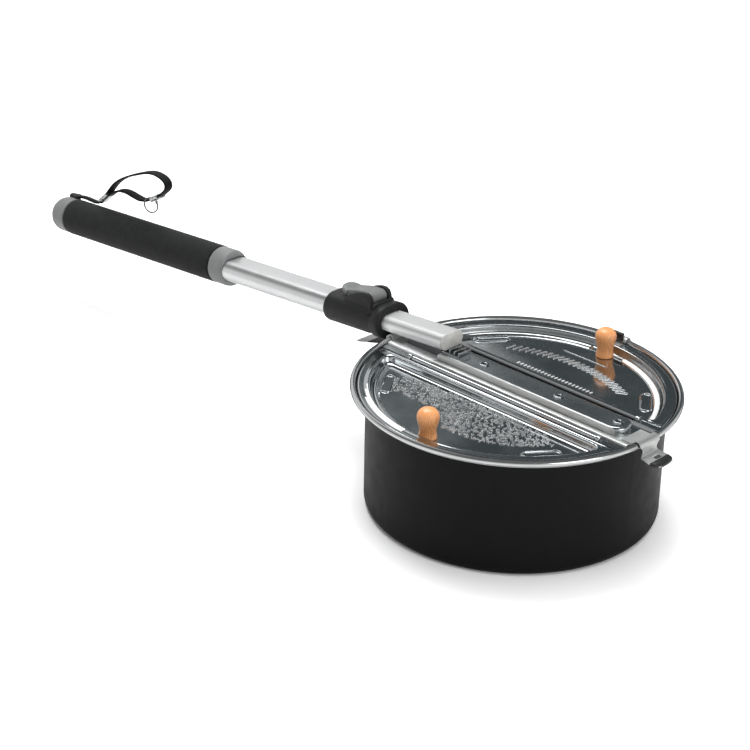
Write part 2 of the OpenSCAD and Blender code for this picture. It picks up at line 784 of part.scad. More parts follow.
// The lever with its cam, lying back along the sleeve with a raised round tip
module lock_lever() {
    low = lock_h / 2 + 0.5;
    tip_h = lock_h / 2 + 6.6;
    tip_w = lever_w + 3;
    color("#84888a") on_handle() difference() {
        union() {
            across_y(lever_w) {
                translate([pin_x, pin_h - cam_throw]) circle(cam_r);
                polygon([[pin_x, pin_h - cam_throw + cam_r], [pin_x - 12, lock_h / 2 + 7.9],
                    [lever_tip + 11, lock_h / 2 + 5.6], [lever_tip + 6, lock_h / 2 + 5.2],
                    [lever_tip + 6, low], [pin_x - 2, low], [pin_x, pin_h]]);
            }
            intersection() {
                across_y(tip_w) polygon([[lever_tip + 8.4, lock_h / 2 + 5.5], [lever_tip + 3.5, tip_h + 0.6],
                    [lever_tip + 1, tip_h], [lever_tip, tip_h - 2], [lever_tip + 1, low + 2.2],
                    [lever_tip + 6, low], [lever_tip + 8.4, low + 0.4]]);
                translate([lever_tip + tip_w / 2, 0, 0]) cylinder(d = tip_w + 0.01, h = 2 * lock_h);
            }
        }
        translate([pin_x, 0, pin_h]) rod_y(2 * lever_w, lever_pin_d + 2 * run);
    }
}

module lever_pin() {
    color("#9aa0a3") on_handle() translate([pin_x, 0, pin_h])
        rod_y(2 * (cheek_y + cheek_t) + 0.6, lever_pin_d);
}

// The pad that the cam presses on the outer tube
module lock_shoe() {
    color("#d8d4c8") on_handle() translate([pin_x - cam_r - 0.8, -lever_w / 2, outer_h / 2])
        cube([2 * cam_r + 1.4, lever_w, shoe_top - outer_h / 2]);
}

function half_width(w, h, z) = (w - h) / 2 + sqrt(h * h / 4 - z * z);

// The two screw places on the lock's sides, with a unit rod stretched from the tube's side outwards
module lock_screw_places(past) {
    inside = half_width(outer_w, outer_h, lock_screw_h - lock_screw_d / 2) + 0.1;
    outside = half_width(lock_w, lock_h, lock_screw_h) + past;
    for (s = [-1, 1]) translate([lock_screw_x, s * (inside + outside) / 2, lock_screw_h])
        scale([1, outside - inside, 1]) children();
}

module lock_screws() {
    color("#b0b5b7") on_handle() lock_screw_places(0.3) rod_y(1, lock_screw_d);
}

module grip() {
    color("#35383a") on_handle() along_x(cap_x1, grip_x1) difference() {
        circle(d = grip_d);
        stadium(outer_w + 2 * fit, outer_h + 2 * fit);
    }
}

module grip_collar() {
    color("#8b8d8e") on_handle() difference() {
        translate([grip_x1, 0, 0]) turned_x() plug_outline(collar_len, collar_d / 2, collar_round);
        along_x(grip_x1 - 1, collar_x1 + 1) stadium(outer_w + 2 * fit, outer_h + 2 * fit);
    }
}

// The end cap with the lug that holds the strap
module end_cap() {
    color("#8b8d8e") on_handle() difference() {
        union() {
            translate([cap_x1, 0, 0]) mirror([1, 0, 0]) turned_x()
                plug_outline(cap_len, collar_d / 2, cap_round);
            translate([cap_x1 - lug_back, strap_y - lug_w / 2, 0]) cube([lug_len, lug_w, strap_h + lug_h]);
        }
        along_x(outer_x0, cap_x1 + 1) stadium(outer_w + 2 * fit, outer_h + 2 * fit);
    }
}

// Strap route in the handle's frame: the points count from the cap's front edge and surface
function strap_point(p) = [cap_x1 + p[0], strap_y, strap_h + p[1]];
function along(route, i) = route[min(i + 1, len(route) - 1)] - route[max(i - 1, 0)];
function heading(route, i) = along(route, i) / norm(along(route, i));
function ring_points(route, i, w, t) = [for (k = [0:strap_sides - 1])
    let (a = 360 * (k + 0.5) / strap_sides, grow = 1 / cos(180 / strap_sides), d = heading(route, i))
    strap_point(route[i]) + grow / 2 * [-d[1] * t * sin(a), w * cos(a), d[0] * t * sin(a)]];

// A flat strap swept along its route as one closed solid
module webbing(route, w, t) {
    n = strap_sides;
    last = len(route) - 1;
    points = [for (i = [0:last]) each ring_points(route, i, w, t)];
    walls = [for (i = [0:last - 1], k = [0:n - 1]) let (a = i * n + k, b = i * n + (k + 1) % n)
        each [[a, a + n, b + n], [a, b + n, b]]];
    ends = [for (k = [1:n - 2]) each [[0, k, k + 1], [last * n, last * n + k + 1, last * n + k]]];
    polyhedron(points, concat(walls, ends));
}

module at_strap(p, turn) {
    translate(strap_point(p)) rotate([0, -turn, 0]) children();
}

module strap_lead() { color("#202122") on_handle() webbing(lead_route, lead_w, lead_t); }

module strap_loop() { color("#202122") on_handle() webbing(loop_route, strap_w, strap_t); }

// The crimped sleeve that joins the lead and the loop
module strap_ferrule() {
    color("#c8cccd") on_handle() at_strap(ferrule_at, ferrule_turn)
        cube([ferrule_len, ferrule_w, ferrule_t], center = true);
}

// The crimp on the loop with a small eye for the split ring
module ring_crimp() {
    color("#c8cccd") on_handle() at_strap(crimp_at, crimp_turn) difference() {
        union() {
            cube([crimp_len, crimp_w, crimp_t], center = true);
            translate([crimp_eye_x, 0, -crimp_t / 2 - crimp_eye]) rod_y(1.2, 2 * crimp_eye);
            translate([crimp_eye_x, 0, -crimp_t / 2 - crimp_eye / 2])
                cube([2 * crimp_eye, 1.2, crimp_eye], center = true);
        }
        translate([crimp_eye_x, 0, -crimp_t / 2 - crimp_eye]) rod_y(4, ring_wire + 1);
    }
}

module split_ring() {
    drop = crimp_t / 2 + crimp_eye + ring_d / 2 - ring_wire / 2;
    color("#b5babc") on_handle() at_strap(crimp_at, crimp_turn) translate([crimp_eye_x, 0, -drop])
        rotate([0, 90, 0]) rotate_extrude() translate([ring_d / 2 - ring_wire / 2, 0]) circle(d = ring_wire);
}

pan();
pan_rim();
bridge();
front_hinge_pin();
back_hinge_pin();
spine_bar();
bar_rivets();
tube_block();
block_screws();
tube_screws();
tube_catch();
near_clip();
clip_root();
far_clip();
clip_tip();
front_flap();
back_flap();
front_knob();
back_knob();
front_knob_screw();
back_knob_screw();
latch_root();
rear_latch();
latch_cover();
inner_tube();
tube_plug();
inner_bush();
outer_tube();
lock_body();
lock_lever();
lever_pin();
lock_shoe();
lock_screws();
grip();
grip_collar();
end_cap();
strap_lead();
strap_ferrule();
strap_loop();
ring_crimp();
split_ring();
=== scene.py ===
import json
import math

import bmesh
import bpy
import numpy as np
from mathutils import Matrix, Vector

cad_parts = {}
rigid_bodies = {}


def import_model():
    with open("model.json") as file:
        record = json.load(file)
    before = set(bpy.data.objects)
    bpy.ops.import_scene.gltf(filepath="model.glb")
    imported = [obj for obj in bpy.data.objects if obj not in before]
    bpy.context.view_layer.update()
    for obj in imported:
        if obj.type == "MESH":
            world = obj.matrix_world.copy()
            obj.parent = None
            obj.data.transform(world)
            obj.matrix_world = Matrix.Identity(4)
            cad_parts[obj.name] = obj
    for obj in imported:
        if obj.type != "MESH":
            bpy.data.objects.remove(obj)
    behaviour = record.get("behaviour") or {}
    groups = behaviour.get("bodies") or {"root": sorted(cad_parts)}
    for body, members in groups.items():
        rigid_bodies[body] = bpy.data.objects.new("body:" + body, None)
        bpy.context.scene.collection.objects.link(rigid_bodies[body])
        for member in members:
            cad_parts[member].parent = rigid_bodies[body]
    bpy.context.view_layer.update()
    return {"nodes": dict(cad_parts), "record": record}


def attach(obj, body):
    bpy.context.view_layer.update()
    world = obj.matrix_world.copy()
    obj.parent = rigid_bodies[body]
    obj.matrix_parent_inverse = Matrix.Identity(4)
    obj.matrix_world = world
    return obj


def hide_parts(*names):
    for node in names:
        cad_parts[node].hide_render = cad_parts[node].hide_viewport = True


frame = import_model()
cad = frame["nodes"]
mm = 0.001


def intoScene(name, data):
    obj = bpy.data.objects.new(name, data)
    bpy.context.scene.collection.objects.link(obj)
    return obj


# camera at the photograph's angle

cameraSet = {
    "place": (0.8853, -1.0582, 0.7759),
    "heading": (-0.6997, 0.7145, 0.0),
    "pitch": 25.96,
    "roll": 1.17,
    "lens": 96.6,
    "sensor": 36,
    "clip": (0.05, 50),
}


def makeCamera(s):
    heading, up = Vector(s["heading"]).normalized(), Vector((0, 0, 1))
    pitch, roll = math.radians(s["pitch"]), math.radians(s["roll"])
    side = heading.cross(up)
    forward = heading * math.cos(pitch) - up * math.sin(pitch)
    lift = heading * math.sin(pitch) + up * math.cos(pitch)
    right = side * math.cos(roll) + lift * math.sin(roll)
    top = lift * math.cos(roll) - side * math.sin(roll)
    turn = Matrix((right, top, -forward)).transposed().to_4x4()
    data = bpy.data.cameras.new("camera")
    data.lens, data.sensor_width = s["lens"], s["sensor"]
    data.clip_start, data.clip_end = s["clip"]
    camera = intoScene("camera", data)
    camera.matrix_world = Matrix.Translation(s["place"]) @ turn
    bpy.context.scene.camera = camera


makeCamera(cameraSet)
print("camera set")

# mesh helpers; points are in millimetres until a mesh is made

handleSet = {"end": (-68.7, 0.0, 114.68), "droop": 4.3}
handleTurn = Matrix.Rotation(-math.radians(handleSet["droop"]), 4, "Y")
handleFrame = Matrix.Translation(handleSet["end"]) @ handleTurn


def onHandle(points):
    return [handleFrame @ Vector(p) for p in points]


def addMesh(name, points, faces, material, sharp=35, recalc=True):
    mesh = bpy.data.meshes.new(name)
    mesh.from_pydata([Vector(p) * mm for p in points], [], faces)
    if recalc:
        work = bmesh.new()
        work.from_mesh(mesh)
        bmesh.ops.remove_doubles(work, verts=work.verts, dist=1e-7)
        bmesh.ops.recalc_face_normals(work, faces=work.faces)
        work.to_mesh(mesh)
        work.free()
    mesh.polygons.foreach_set("use_smooth", [True] * len(mesh.polygons))
    mesh.set_sharp_from_angle(angle=math.radians(sharp))
    mesh.materials.append(material)
    return intoScene(name, mesh)


def setPiece(obj, body, slot, *nodes):
    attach(obj, body)
    if nodes:
        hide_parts(*nodes)
    return obj


# joins rings of equal length into a skin; ends are closed with one face each
def loft(rings, capStart=True, capEnd=True, loop=False):
    count = len(rings[0])
    points = [p for ring in rings for p in ring]
    faces = []
    pairs = len(rings) if loop else len(rings) - 1
    for i in range(pairs):
        a, b = i * count, ((i + 1) % len(rings)) * count
        for k in range(count):
            j = (k + 1) % count
            faces.append((a + k, a + j, b + j, b + k))
    if not loop:
        if capStart:
            faces.append(tuple(range(count - 1, -1, -1)))
        if capEnd:
            faces.append(tuple(range((len(rings) - 1) * count, len(rings) * count)))
    return points, faces


def joinShapes(shapes):
    points, faces = [], []
    for p, f in shapes:
        base = len(points)
        points += list(p)
        faces += [tuple(base + i for i in face) for face in f]
    return points, faces


def fullTurn(count):
    return np.linspace(0, 2 * math.pi, count, endpoint=False)


# turned shape about +Z from (radius, height) pairs; a point on the axis keeps a tiny ring
def lathe(profile, segments, centre=(0, 0, 0)):
    cx, cy, cz = centre
    least = 0.001
    rings = [[(cx + max(r, least) * math.cos(t), cy + max(r, least) * math.sin(t), cz + z)
              for t in fullTurn(segments)] for r, z in profile]
    return loft(rings)


# points on a circle arc in two coordinates, angles in degrees
def arc(cx, cy, r, a0, a1, count):
    angles = [math.radians(a0 + (a1 - a0) * i / (count - 1)) for i in range(count)]
    return [(cx + r * math.cos(a), cy + r * math.sin(a)) for a in angles]


# outline of an oval tube in (y, z)
def stadium(w, h, count=24):
    half = max((w - h) / 2, 0)
    return arc(half, 0, h / 2, -90, 90, count) + arc(-half, 0, h / 2, 90, 270, count)


# oval rings along the handle from (x, width, height) steps
def ovalRings(steps, count=24):
    return [onHandle([(x, y, z) for y, z in stadium(w, h, count)]) for x, w, h in steps]


# (offset along, inset) pairs of a rounded edge, from the end face outwards
def roundEdge(r, count=6):
    return [(r - r * math.cos(math.radians(a)), r - r * math.sin(math.radians(a)))
            for a in np.linspace(0, 90, count)]


# smooth curve through route points
def smoothRoute(route, per=8):
    p = [Vector(q) for q in route]
    out = []
    for i in range(len(p) - 1):
        a, b, c, d = p[max(i - 1, 0)], p[i], p[i + 1], p[min(i + 2, len(p) - 1)]
        for k in range(per):
            t = k / per
            out.append(0.5 * ((2 * b) + (c - a) * t + (2 * a - 5 * b + 4 * c - d) * t * t
                              + (3 * b - a - 3 * c + d) * t ** 3))
    out.append(p[-1])
    return out


# node helpers: a node with its settings and values, and links as (from, output, to, input)


def setInputs(node, values):
    for label, value in values.items():
        node.inputs[label].default_value = value


def addNode(tree, kind, values=None, **settings):
    node = tree.nodes.new(kind)
    for setting, value in settings.items():
        setattr(node, setting, value)
    setInputs(node, values or {})
    return node


def wire(tree, *links):
    for source, output, target, entry in links:
        tree.links.new(source.outputs[output], target.inputs[entry])


# node groups shared by the finishes


def newGroup(name, inputs, outputs):
    group = bpy.data.node_groups.new(name, "ShaderNodeTree")
    for label, value in inputs:
        socket = group.interface.new_socket(label, in_out="INPUT", socket_type="NodeSocketFloat")
        socket.default_value = value
    for label in outputs:
        group.interface.new_socket(label, in_out="OUTPUT", socket_type="NodeSocketFloat")
    return group, group.nodes.new("NodeGroupInput"), group.nodes.new("NodeGroupOutput")


# cloudy change of a value between Low and High
def makeMottle():
    group, given, out = newGroup(
        "softMottle", [("Scale", 40), ("Detail", 4), ("Low", 0), ("High", 1)], ["Value"])
    coord = addNode(group, "ShaderNodeTexCoord")
    noise = addNode(group, "ShaderNodeTexNoise")
    spread = addNode(group, "ShaderNodeMapRange", {"From Min": 0.3, "From Max": 0.7})
    wire(group, (coord, "Object", noise, "Vector"), (given, "Scale", noise, "Scale"),
         (given, "Detail", noise, "Detail"), (noise, "Fac", spread, "Value"),
         (given, "Low", spread, "To Min"), (given, "High", spread, "To Max"),
         (spread, "Result", out, "Value"))
    return group


# fine straight drawing lines along X, tipped by Tip degrees about Y
def makeGrain():
    group, given, out = newGroup(
        "drawnGrain", [("Scale", 900), ("Stretch", 0.02), ("Tip", 0)], ["Value"])
    coord = addNode(group, "ShaderNodeTexCoord")
    turn = addNode(group, "ShaderNodeVectorRotate", rotation_type="Y_AXIS")
    radians = addNode(group, "ShaderNodeMath", operation="RADIANS")
    size = addNode(group, "ShaderNodeCombineXYZ", {"Y": 1, "Z": 1})
    squeeze = addNode(group, "ShaderNodeVectorMath", operation="MULTIPLY")
    noise = addNode(group, "ShaderNodeTexNoise", {"Detail": 3})
    wire(group, (given, "Tip", radians, 0), (radians, 0, turn, "Angle"),
         (coord, "Object", turn, "Vector"), (given, "Stretch", size, "X"),
         (turn, "Vector", squeeze, 0), (size, "Vector", squeeze, 1),
         (squeeze, "Vector", noise, "Vector"), (given, "Scale", noise, "Scale"),
         (noise, "Fac", out, "Value"))
    return group


# plain over-under weave on a UV map, as height
def makeWeave():
    group, given, out = newGroup("plainWeave", [("Across", 10), ("Along", 200)], ["Height"])
    uv = addNode(group, "ShaderNodeUVMap")
    split = addNode(group, "ShaderNodeSeparateXYZ")
    cross = addNode(group, "ShaderNodeMath", operation="MULTIPLY")
    lift = addNode(group, "ShaderNodeMapRange", {"From Min": -1})
    wire(group, (uv, "UV", split, "Vector"), (cross, 0, lift, "Value"), (lift, "Result", out, "Height"))
    for entry, (axis, label) in enumerate((("X", "Across"), ("Y", "Along"))):
        times = addNode(group, "ShaderNodeMath", operation="MULTIPLY")
        sine = addNode(group, "ShaderNodeMath", operation="SINE")
        wire(group, (split, axis, times, 0), (given, label, times, 1), (times, 0, sine, 0),
             (sine, 0, cross, entry))
    return group


mottle, grain, weave = makeMottle(), makeGrain(), makeWeave()
print("shared groups made")

# finishes

finishSet = {
    # panCoatAndPaintedShade is the pan's black coat, and also painted shade on the near clip's lip
    "panCoatAndPaintedShade": {"color": (0.0048, 0.005, 0.0049), "shade": (0.0034, 0.0036, 0.0035), "rough": (0.40, 0.50),
                "scale": 30, "bump": (1800, 0.05), "metal": 0, "gloss": 0.11},
    # rimSteel's edge is the facing span over which its outline is painted black, as painted shade
    "rimSteel": {"color": (0.68, 0.69, 0.695), "shade": (0.58, 0.59, 0.595), "rough": (0.10, 0.22),
                 "scale": 25, "bump": (900, 0.02), "metal": 1, "gloss": 0, "edge": (0.58, 0.82)},
    # innerMetal carries painted reflection streaks: darker and lighter stripes along the tube
    "innerMetal": {"color": (0.98, 0.99, 0.99), "shade": (0.94, 0.95, 0.955), "rough": (0.30, 0.36),
                   "scale": 30, "grain": (1400, 0.012, 4.3), "bump": (0, 0.004), "metal": 0.22,
                   "paintedStreaks": ((-6.8, 1), (1.2, 1), (3.7, 0.36), (5.5, 0.64), (6.75, 0.48))},
    "lidSteel": {"color": (0.52, 0.54, 0.55), "shade": (0.44, 0.46, 0.47), "rough": (0.06, 0.15),
                 "scale": 18, "bump": (500, 0.012), "metal": 1},
    "embossSteel": {"color": (0.54, 0.555, 0.56), "shade": (0.40, 0.413, 0.42), "rough": (0.2, 0.3),
                    "scale": 60, "bump": (500, 0.012), "metal": 1},
    "strokeSteel": {"color": (0.58, 0.595, 0.60), "shade": (0.44, 0.453, 0.46), "rough": (0.2, 0.3),
                    "scale": 60, "bump": (500, 0.012), "metal": 0.75},
    "shadeSteel": {"color": (0.20, 0.21, 0.215), "shade": (0.15, 0.158, 0.16), "rough": (0.5, 0.6),
                   "scale": 60, "bump": (500, 0.012), "metal": 1},
    # hingePaintedShade is painted shade: a dull grey laid along the back hinge and the bridge's back edge
    "hingePaintedShade": {"color": (0.15, 0.157, 0.16), "shade": (0.13, 0.136, 0.138), "rough": (0.5, 0.6),
                  "scale": 60, "bump": (500, 0.012), "metal": 0, "gloss": 0.15},
    # paleSteelAndPaintedLight is a pale steel for the small strokes, and painted light on the bridge strip
    # under the tube
    "paleSteelAndPaintedLight": {"color": (0.84, 0.85, 0.85), "shade": (0.74, 0.75, 0.755), "rough": (0.45, 0.55),
                  "scale": 60, "bump": (500, 0.012), "metal": 0.4},
    # painted highlight: near-white steel laid where the flaps' bright reflections are painted in
    "paintedHighlightSteel": {"color": (0.98, 0.99, 0.99), "shade": (0.92, 0.93, 0.93), "rough": (0.32, 0.42),
                   "scale": 60, "bump": (500, 0.012), "metal": 0.3},
    # wallPaintedShade is painted shade: darker steel laid on the back flap's dish wall
    "wallPaintedShade": {"color": (0.36, 0.375, 0.38), "shade": (0.27, 0.283, 0.29), "rough": (0.2, 0.3),
                  "scale": 60, "bump": (500, 0.012), "metal": 1},
    "barSteel": {"color": (0.44, 0.47, 0.48), "shade": (0.37, 0.395, 0.405), "rough": (0.18, 0.26),
                 "scale": 22, "grain": (700, 0.03, 0), "bump": (0, 0.03), "metal": 1},
    # springSteelAndPaintedLight is the clips' steel, and also painted light on the bridge's front half and
    # the bar's front face
    "springSteelAndPaintedLight": {"color": (0.70, 0.71, 0.70), "shade": (0.60, 0.61, 0.60), "rough": (0.42, 0.52),
                    "scale": 60, "bump": (1200, 0.02), "metal": 1},
    "fittingSteel": {"color": (0.56, 0.57, 0.58), "shade": (0.45, 0.46, 0.47), "rough": (0.18, 0.32),
                     "scale": 120, "bump": (1500, 0.02), "metal": 1},
    # blockMetalPaintedShade is painted shade: the block is made dark as the shadowed gap under the tube
    "blockMetalPaintedShade": {"color": (0.20, 0.205, 0.21), "shade": (0.15, 0.155, 0.16), "rough": (0.38, 0.5),
                   "scale": 90, "bump": (900, 0.06), "metal": 1},
    "tubeMetal": {"color": (0.76, 0.77, 0.77), "shade": (0.72, 0.73, 0.735), "rough": (0.29, 0.34),
                  "scale": 30, "grain": (1400, 0.012, 4.3), "bump": (0, 0.004), "metal": 1},
    "seamShade": {"color": (0.035, 0.037, 0.038), "shade": (0.02, 0.021, 0.022), "rough": (0.45, 0.6),
                  "scale": 60, "bump": (900, 0.02), "metal": 0, "gloss": 0.2},
    "dipVinyl": {"color": (0.016, 0.016, 0.017), "shade": (0.010, 0.010, 0.011), "rough": (0.28, 0.40),
                 "scale": 90, "bump": (700, 0.05), "metal": 0},
    "plugPlastic": {"color": (0.68, 0.68, 0.66), "shade": (0.52, 0.52, 0.50), "rough": (0.4, 0.52),
                    "scale": 120, "bump": (2200, 0.06), "metal": 0},
    "bushPlastic": {"color": (0.80, 0.79, 0.75), "shade": (0.72, 0.71, 0.67), "rough": (0.35, 0.45),
                    "scale": 80, "bump": (1500, 0.04), "metal": 0},
    "lockPlastic": {"color": (0.011, 0.0115, 0.0115), "shade": (0.0075, 0.008, 0.008), "rough": (0.42, 0.54),
                    "scale": 70, "bump": (2600, 0.14), "metal": 0, "gloss": 0.30},
    "leverPlastic": {"color": (0.165, 0.17, 0.17), "shade": (0.13, 0.134, 0.135), "rough": (0.38, 0.5),
                     "scale": 90, "bump": (2400, 0.10), "metal": 0},
    "capPlastic": {"color": (0.208, 0.213, 0.213), "shade": (0.168, 0.172, 0.173), "rough": (0.42, 0.55),
                   "scale": 60, "bump": (2200, 0.12), "metal": 0},
}
# what the plain finishes share
plainSet = {"gloss": 0.5, "relief": 0.0005, "wear": 2.7}


def newMaterial(name):
    material = bpy.data.materials.new(name)
    material.use_nodes = True
    return material, material.node_tree, material.node_tree.nodes["Principled BSDF"]


def groupNode(tree, group, **values):
    return addNode(tree, "ShaderNodeGroup", values, node_tree=group)


# mix between a finish's shade and its colour
def tintNode(tree, s):
    return addNode(tree, "ShaderNodeMix", {"A": (*s["shade"], 1), "B": (*s["color"], 1)},
                   data_type="RGBA")


# painted shade at the rim's outline: colour and metalness fade to black where the rounded edge turns away
# from the eye
def addPaintedEdgeShade(tree, surface, tint, span):
    facing = addNode(tree, "ShaderNodeLayerWeight")
    keep = addNode(tree, "ShaderNodeMapRange", {"From Max": span[0], "From Min": span[1]},
                   interpolation_type="SMOOTHSTEP")
    darken = addNode(tree, "ShaderNodeMix", {"A": (0, 0, 0, 1)}, data_type="RGBA")
    wire(tree, (facing, "Facing", keep, "Value"), (keep, "Result", darken, "Factor"),
         (tint, "Result", darken, "B"), (darken, "Result", surface, "Base Color"),
         (keep, "Result", surface, "Metallic"))


# painted reflection streaks along the drawn tube: the colour is darkened in stripes by height over its axis,
# as (height over its axis in mm, share of the colour)
def addPaintedStreaks(tree, surface, tint, paintedStreaks):
    upward = handleFrame.col[2].to_3d()
    middle = upward.dot(Vector(handleSet["end"]))
    low, high = paintedStreaks[0][0], paintedStreaks[-1][0]
    place = addNode(tree, "ShaderNodeTexCoord")
    height = addNode(tree, "ShaderNodeVectorMath", {1: upward}, operation="DOT_PRODUCT")
    reach = addNode(tree, "ShaderNodeMapRange",
                    {"From Min": (middle + low) * mm, "From Max": (middle + high) * mm})
    streak = addNode(tree, "ShaderNodeValToRGB")
    stops = streak.color_ramp.elements
    while len(stops) < len(paintedStreaks):
        stops.new(0.5)
    for stop, (level, share) in zip(stops, paintedStreaks):
        stop.position = (level - low) / (high - low)
        stop.color = (share, share, share, 1)
    paintedReflection = addNode(tree, "ShaderNodeMix", {"Factor": 1}, data_type="RGBA", blend_type="MULTIPLY")
    wire(tree, (place, "Object", height, 0), (height, "Value", reach, "Value"),
         (reach, "Result", streak, "Fac"), (tint, "Result", paintedReflection, "A"), (streak, "Color", paintedReflection, "B"),
         (paintedReflection, "Result", surface, "Base Color"))


def makeFinish(name, s):
    material, tree, surface = newMaterial(name)
    setInputs(surface, {"Metallic": s["metal"], "Specular IOR Level": s.get("gloss", plainSet["gloss"])})
    cloud = groupNode(tree, mottle, Scale=s["scale"], Detail=5)
    tint = tintNode(tree, s)
    wire(tree, (cloud, "Value", tint, "Factor"), (tint, "Result", surface, "Base Color"))
    if "edge" in s:
        addPaintedEdgeShade(tree, surface, tint, s["edge"])
    if "paintedStreaks" in s:
        addPaintedStreaks(tree, surface, tint, s["paintedStreaks"])
    smooth, dull = s["rough"]
    worn = groupNode(tree, mottle, Scale=s["scale"] * plainSet["wear"], Detail=6, Low=smooth, High=dull)
    fine, strength = s["bump"]
    bump = addNode(tree, "ShaderNodeBump", {"Strength": strength, "Distance": plainSet["relief"]})
    if "grain" in s:
        scale, stretch, tip = s["grain"]
        relief = groupNode(tree, grain, Scale=scale, Stretch=stretch, Tip=tip)
    else:
        relief = groupNode(tree, mottle, Scale=fine, Detail=2)
    wire(tree, (worn, "Value", surface, "Roughness"), (relief, "Value", bump, "Height"),
         (bump, "Normal", surface, "Normal"))
    return material


finish = {name: makeFinish(name, s) for name, s in finishSet.items()}

woodSet = {
    "light": (0.93, 0.43, 0.165), "dark": (0.66, 0.255, 0.084), "rings": 260, "fibres": 1400,
    "fibreShare": 0.45, "squeeze": (1, 1, 0.12), "tilt": (0.12, 0.2, 0), "rough": (0.28, 0.42),
    "bump": (0.06, 0.0004), "coat": (0.5, 0.18),
}


def makeWood(s):
    material, tree, surface = newMaterial("turnedWood")
    coord = addNode(tree, "ShaderNodeTexCoord")
    squeeze = addNode(tree, "ShaderNodeMapping", {"Scale": s["squeeze"], "Rotation": s["tilt"]})
    wave = addNode(tree, "ShaderNodeTexWave", {"Scale": s["rings"], "Distortion": 5, "Detail": 3})
    fibre = addNode(tree, "ShaderNodeTexNoise", {"Scale": s["fibres"], "Detail": 3})
    both = addNode(tree, "ShaderNodeMix", {"Factor": s["fibreShare"]})
    ramp = addNode(tree, "ShaderNodeMix", {"A": (*s["dark"], 1), "B": (*s["light"], 1)},
                   data_type="RGBA")
    rough = addNode(tree, "ShaderNodeMapRange", {"To Min": s["rough"][0], "To Max": s["rough"][1]})
    bump = addNode(tree, "ShaderNodeBump", {"Strength": s["bump"][0], "Distance": s["bump"][1]})
    setInputs(surface, {"Coat Weight": s["coat"][0], "Coat Roughness": s["coat"][1]})
    wire(tree, (coord, "Object", squeeze, "Vector"), (squeeze, "Vector", wave, "Vector"),
         (squeeze, "Vector", fibre, "Vector"), (wave, "Fac", both, "A"), (fibre, "Fac", both, "B"),
         (both, "Result", ramp, "Factor"), (ramp, "Result", surface, "Base Color"),
         (fibre, "Fac", rough, "Value"), (rough, "Result", surface, "Roughness"),
         (fibre, "Fac", bump, "Height"), (bump, "Normal", surface, "Normal"))
    return material


foamSet = {
    "color": (0.011, 0.0122, 0.012), "shade": (0.0065, 0.0072, 0.007), "cloud": 160, "pores": 1500,
    "bump": (0.35, 0.0004), "rough": 0.78, "gloss": 0.2, "sheen": (0.06, 0.5),
}


def makeFoam(s):
    material, tree, surface = newMaterial("softFoam")
    cloud = groupNode(tree, mottle, Scale=s["cloud"], Detail=8)
    tint = tintNode(tree, s)
    coord = addNode(tree, "ShaderNodeTexCoord")
    cells = addNode(tree, "ShaderNodeTexVoronoi", {"Scale": s["pores"]})
    bump = addNode(tree, "ShaderNodeBump", {"Strength": s["bump"][0], "Distance": s["bump"][1]})
    setInputs(surface, {"Roughness": s["rough"], "Specular IOR Level": s["gloss"],
                        "Sheen Weight": s["sheen"][0], "Sheen Roughness": s["sheen"][1]})
    wire(tree, (coord, "Object", cells, "Vector"), (cloud, "Value", tint, "Factor"),
         (tint, "Result", surface, "Base Color"), (cells, "Distance", bump, "Height"),
         (bump, "Normal", surface, "Normal"))
    return material


webSet = {
    "color": (0.010, 0.010, 0.0105), "shade": (0.005, 0.005, 0.0055), "across": 40, "along": 1100,
    "bump": (0.5, 0.0003), "rough": 0.6, "gloss": 0.12,
}


def makeWebbing(s):
    material, tree, surface = newMaterial("strapWebbing")
    cloth = groupNode(tree, weave, Across=s["across"], Along=s["along"])
    tint = tintNode(tree, s)
    bump = addNode(tree, "ShaderNodeBump", {"Strength": s["bump"][0], "Distance": s["bump"][1]})
    setInputs(surface, {"Roughness": s["rough"], "Specular IOR Level": s["gloss"]})
    wire(tree, (cloth, "Height", tint, "Factor"), (tint, "Result", surface, "Base Color"),
         (cloth, "Height", bump, "Height"), (bump, "Normal", surface, "Normal"))
    return material


finish["turnedWood"] = makeWood(woodSet)
finish["softFoam"] = makeFoam(foamSet)
finish["strapWebbing"] = makeWebbing(webSet)

slotFinish = {
    "pan_coat": "panCoatAndPaintedShade", "rim_steel": "rimSteel", "lid_steel": "lidSteel", "bar_steel": "barSteel",
    "block_metal": "blockMetalPaintedShade", "spring_steel": "springSteelAndPaintedLight", "fittings": "fittingSteel", "dip": "dipVinyl",
    "knob_wood": "turnedWood", "tube_metal": "tubeMetal", "plug_plastic": "plugPlastic",
    "bush_plastic": "bushPlastic", "lock_plastic": "lockPlastic", "lever_plastic": "leverPlastic",
    "foam": "softFoam", "cap_plastic": "capPlastic", "webbing": "strapWebbing",
}
for part in frame["record"]["subparts"]:
    mesh = cad[part["node"]].data
    mesh.materials.clear()
    inner = part["node"] == "inner_tube"
    mesh.materials.append(finish["innerMetal" if inner else slotFinish[part["material_slot"]]])
print("finishes made:", len(finish))

# wrist strap: the same routes as the solids, in the handle's frame

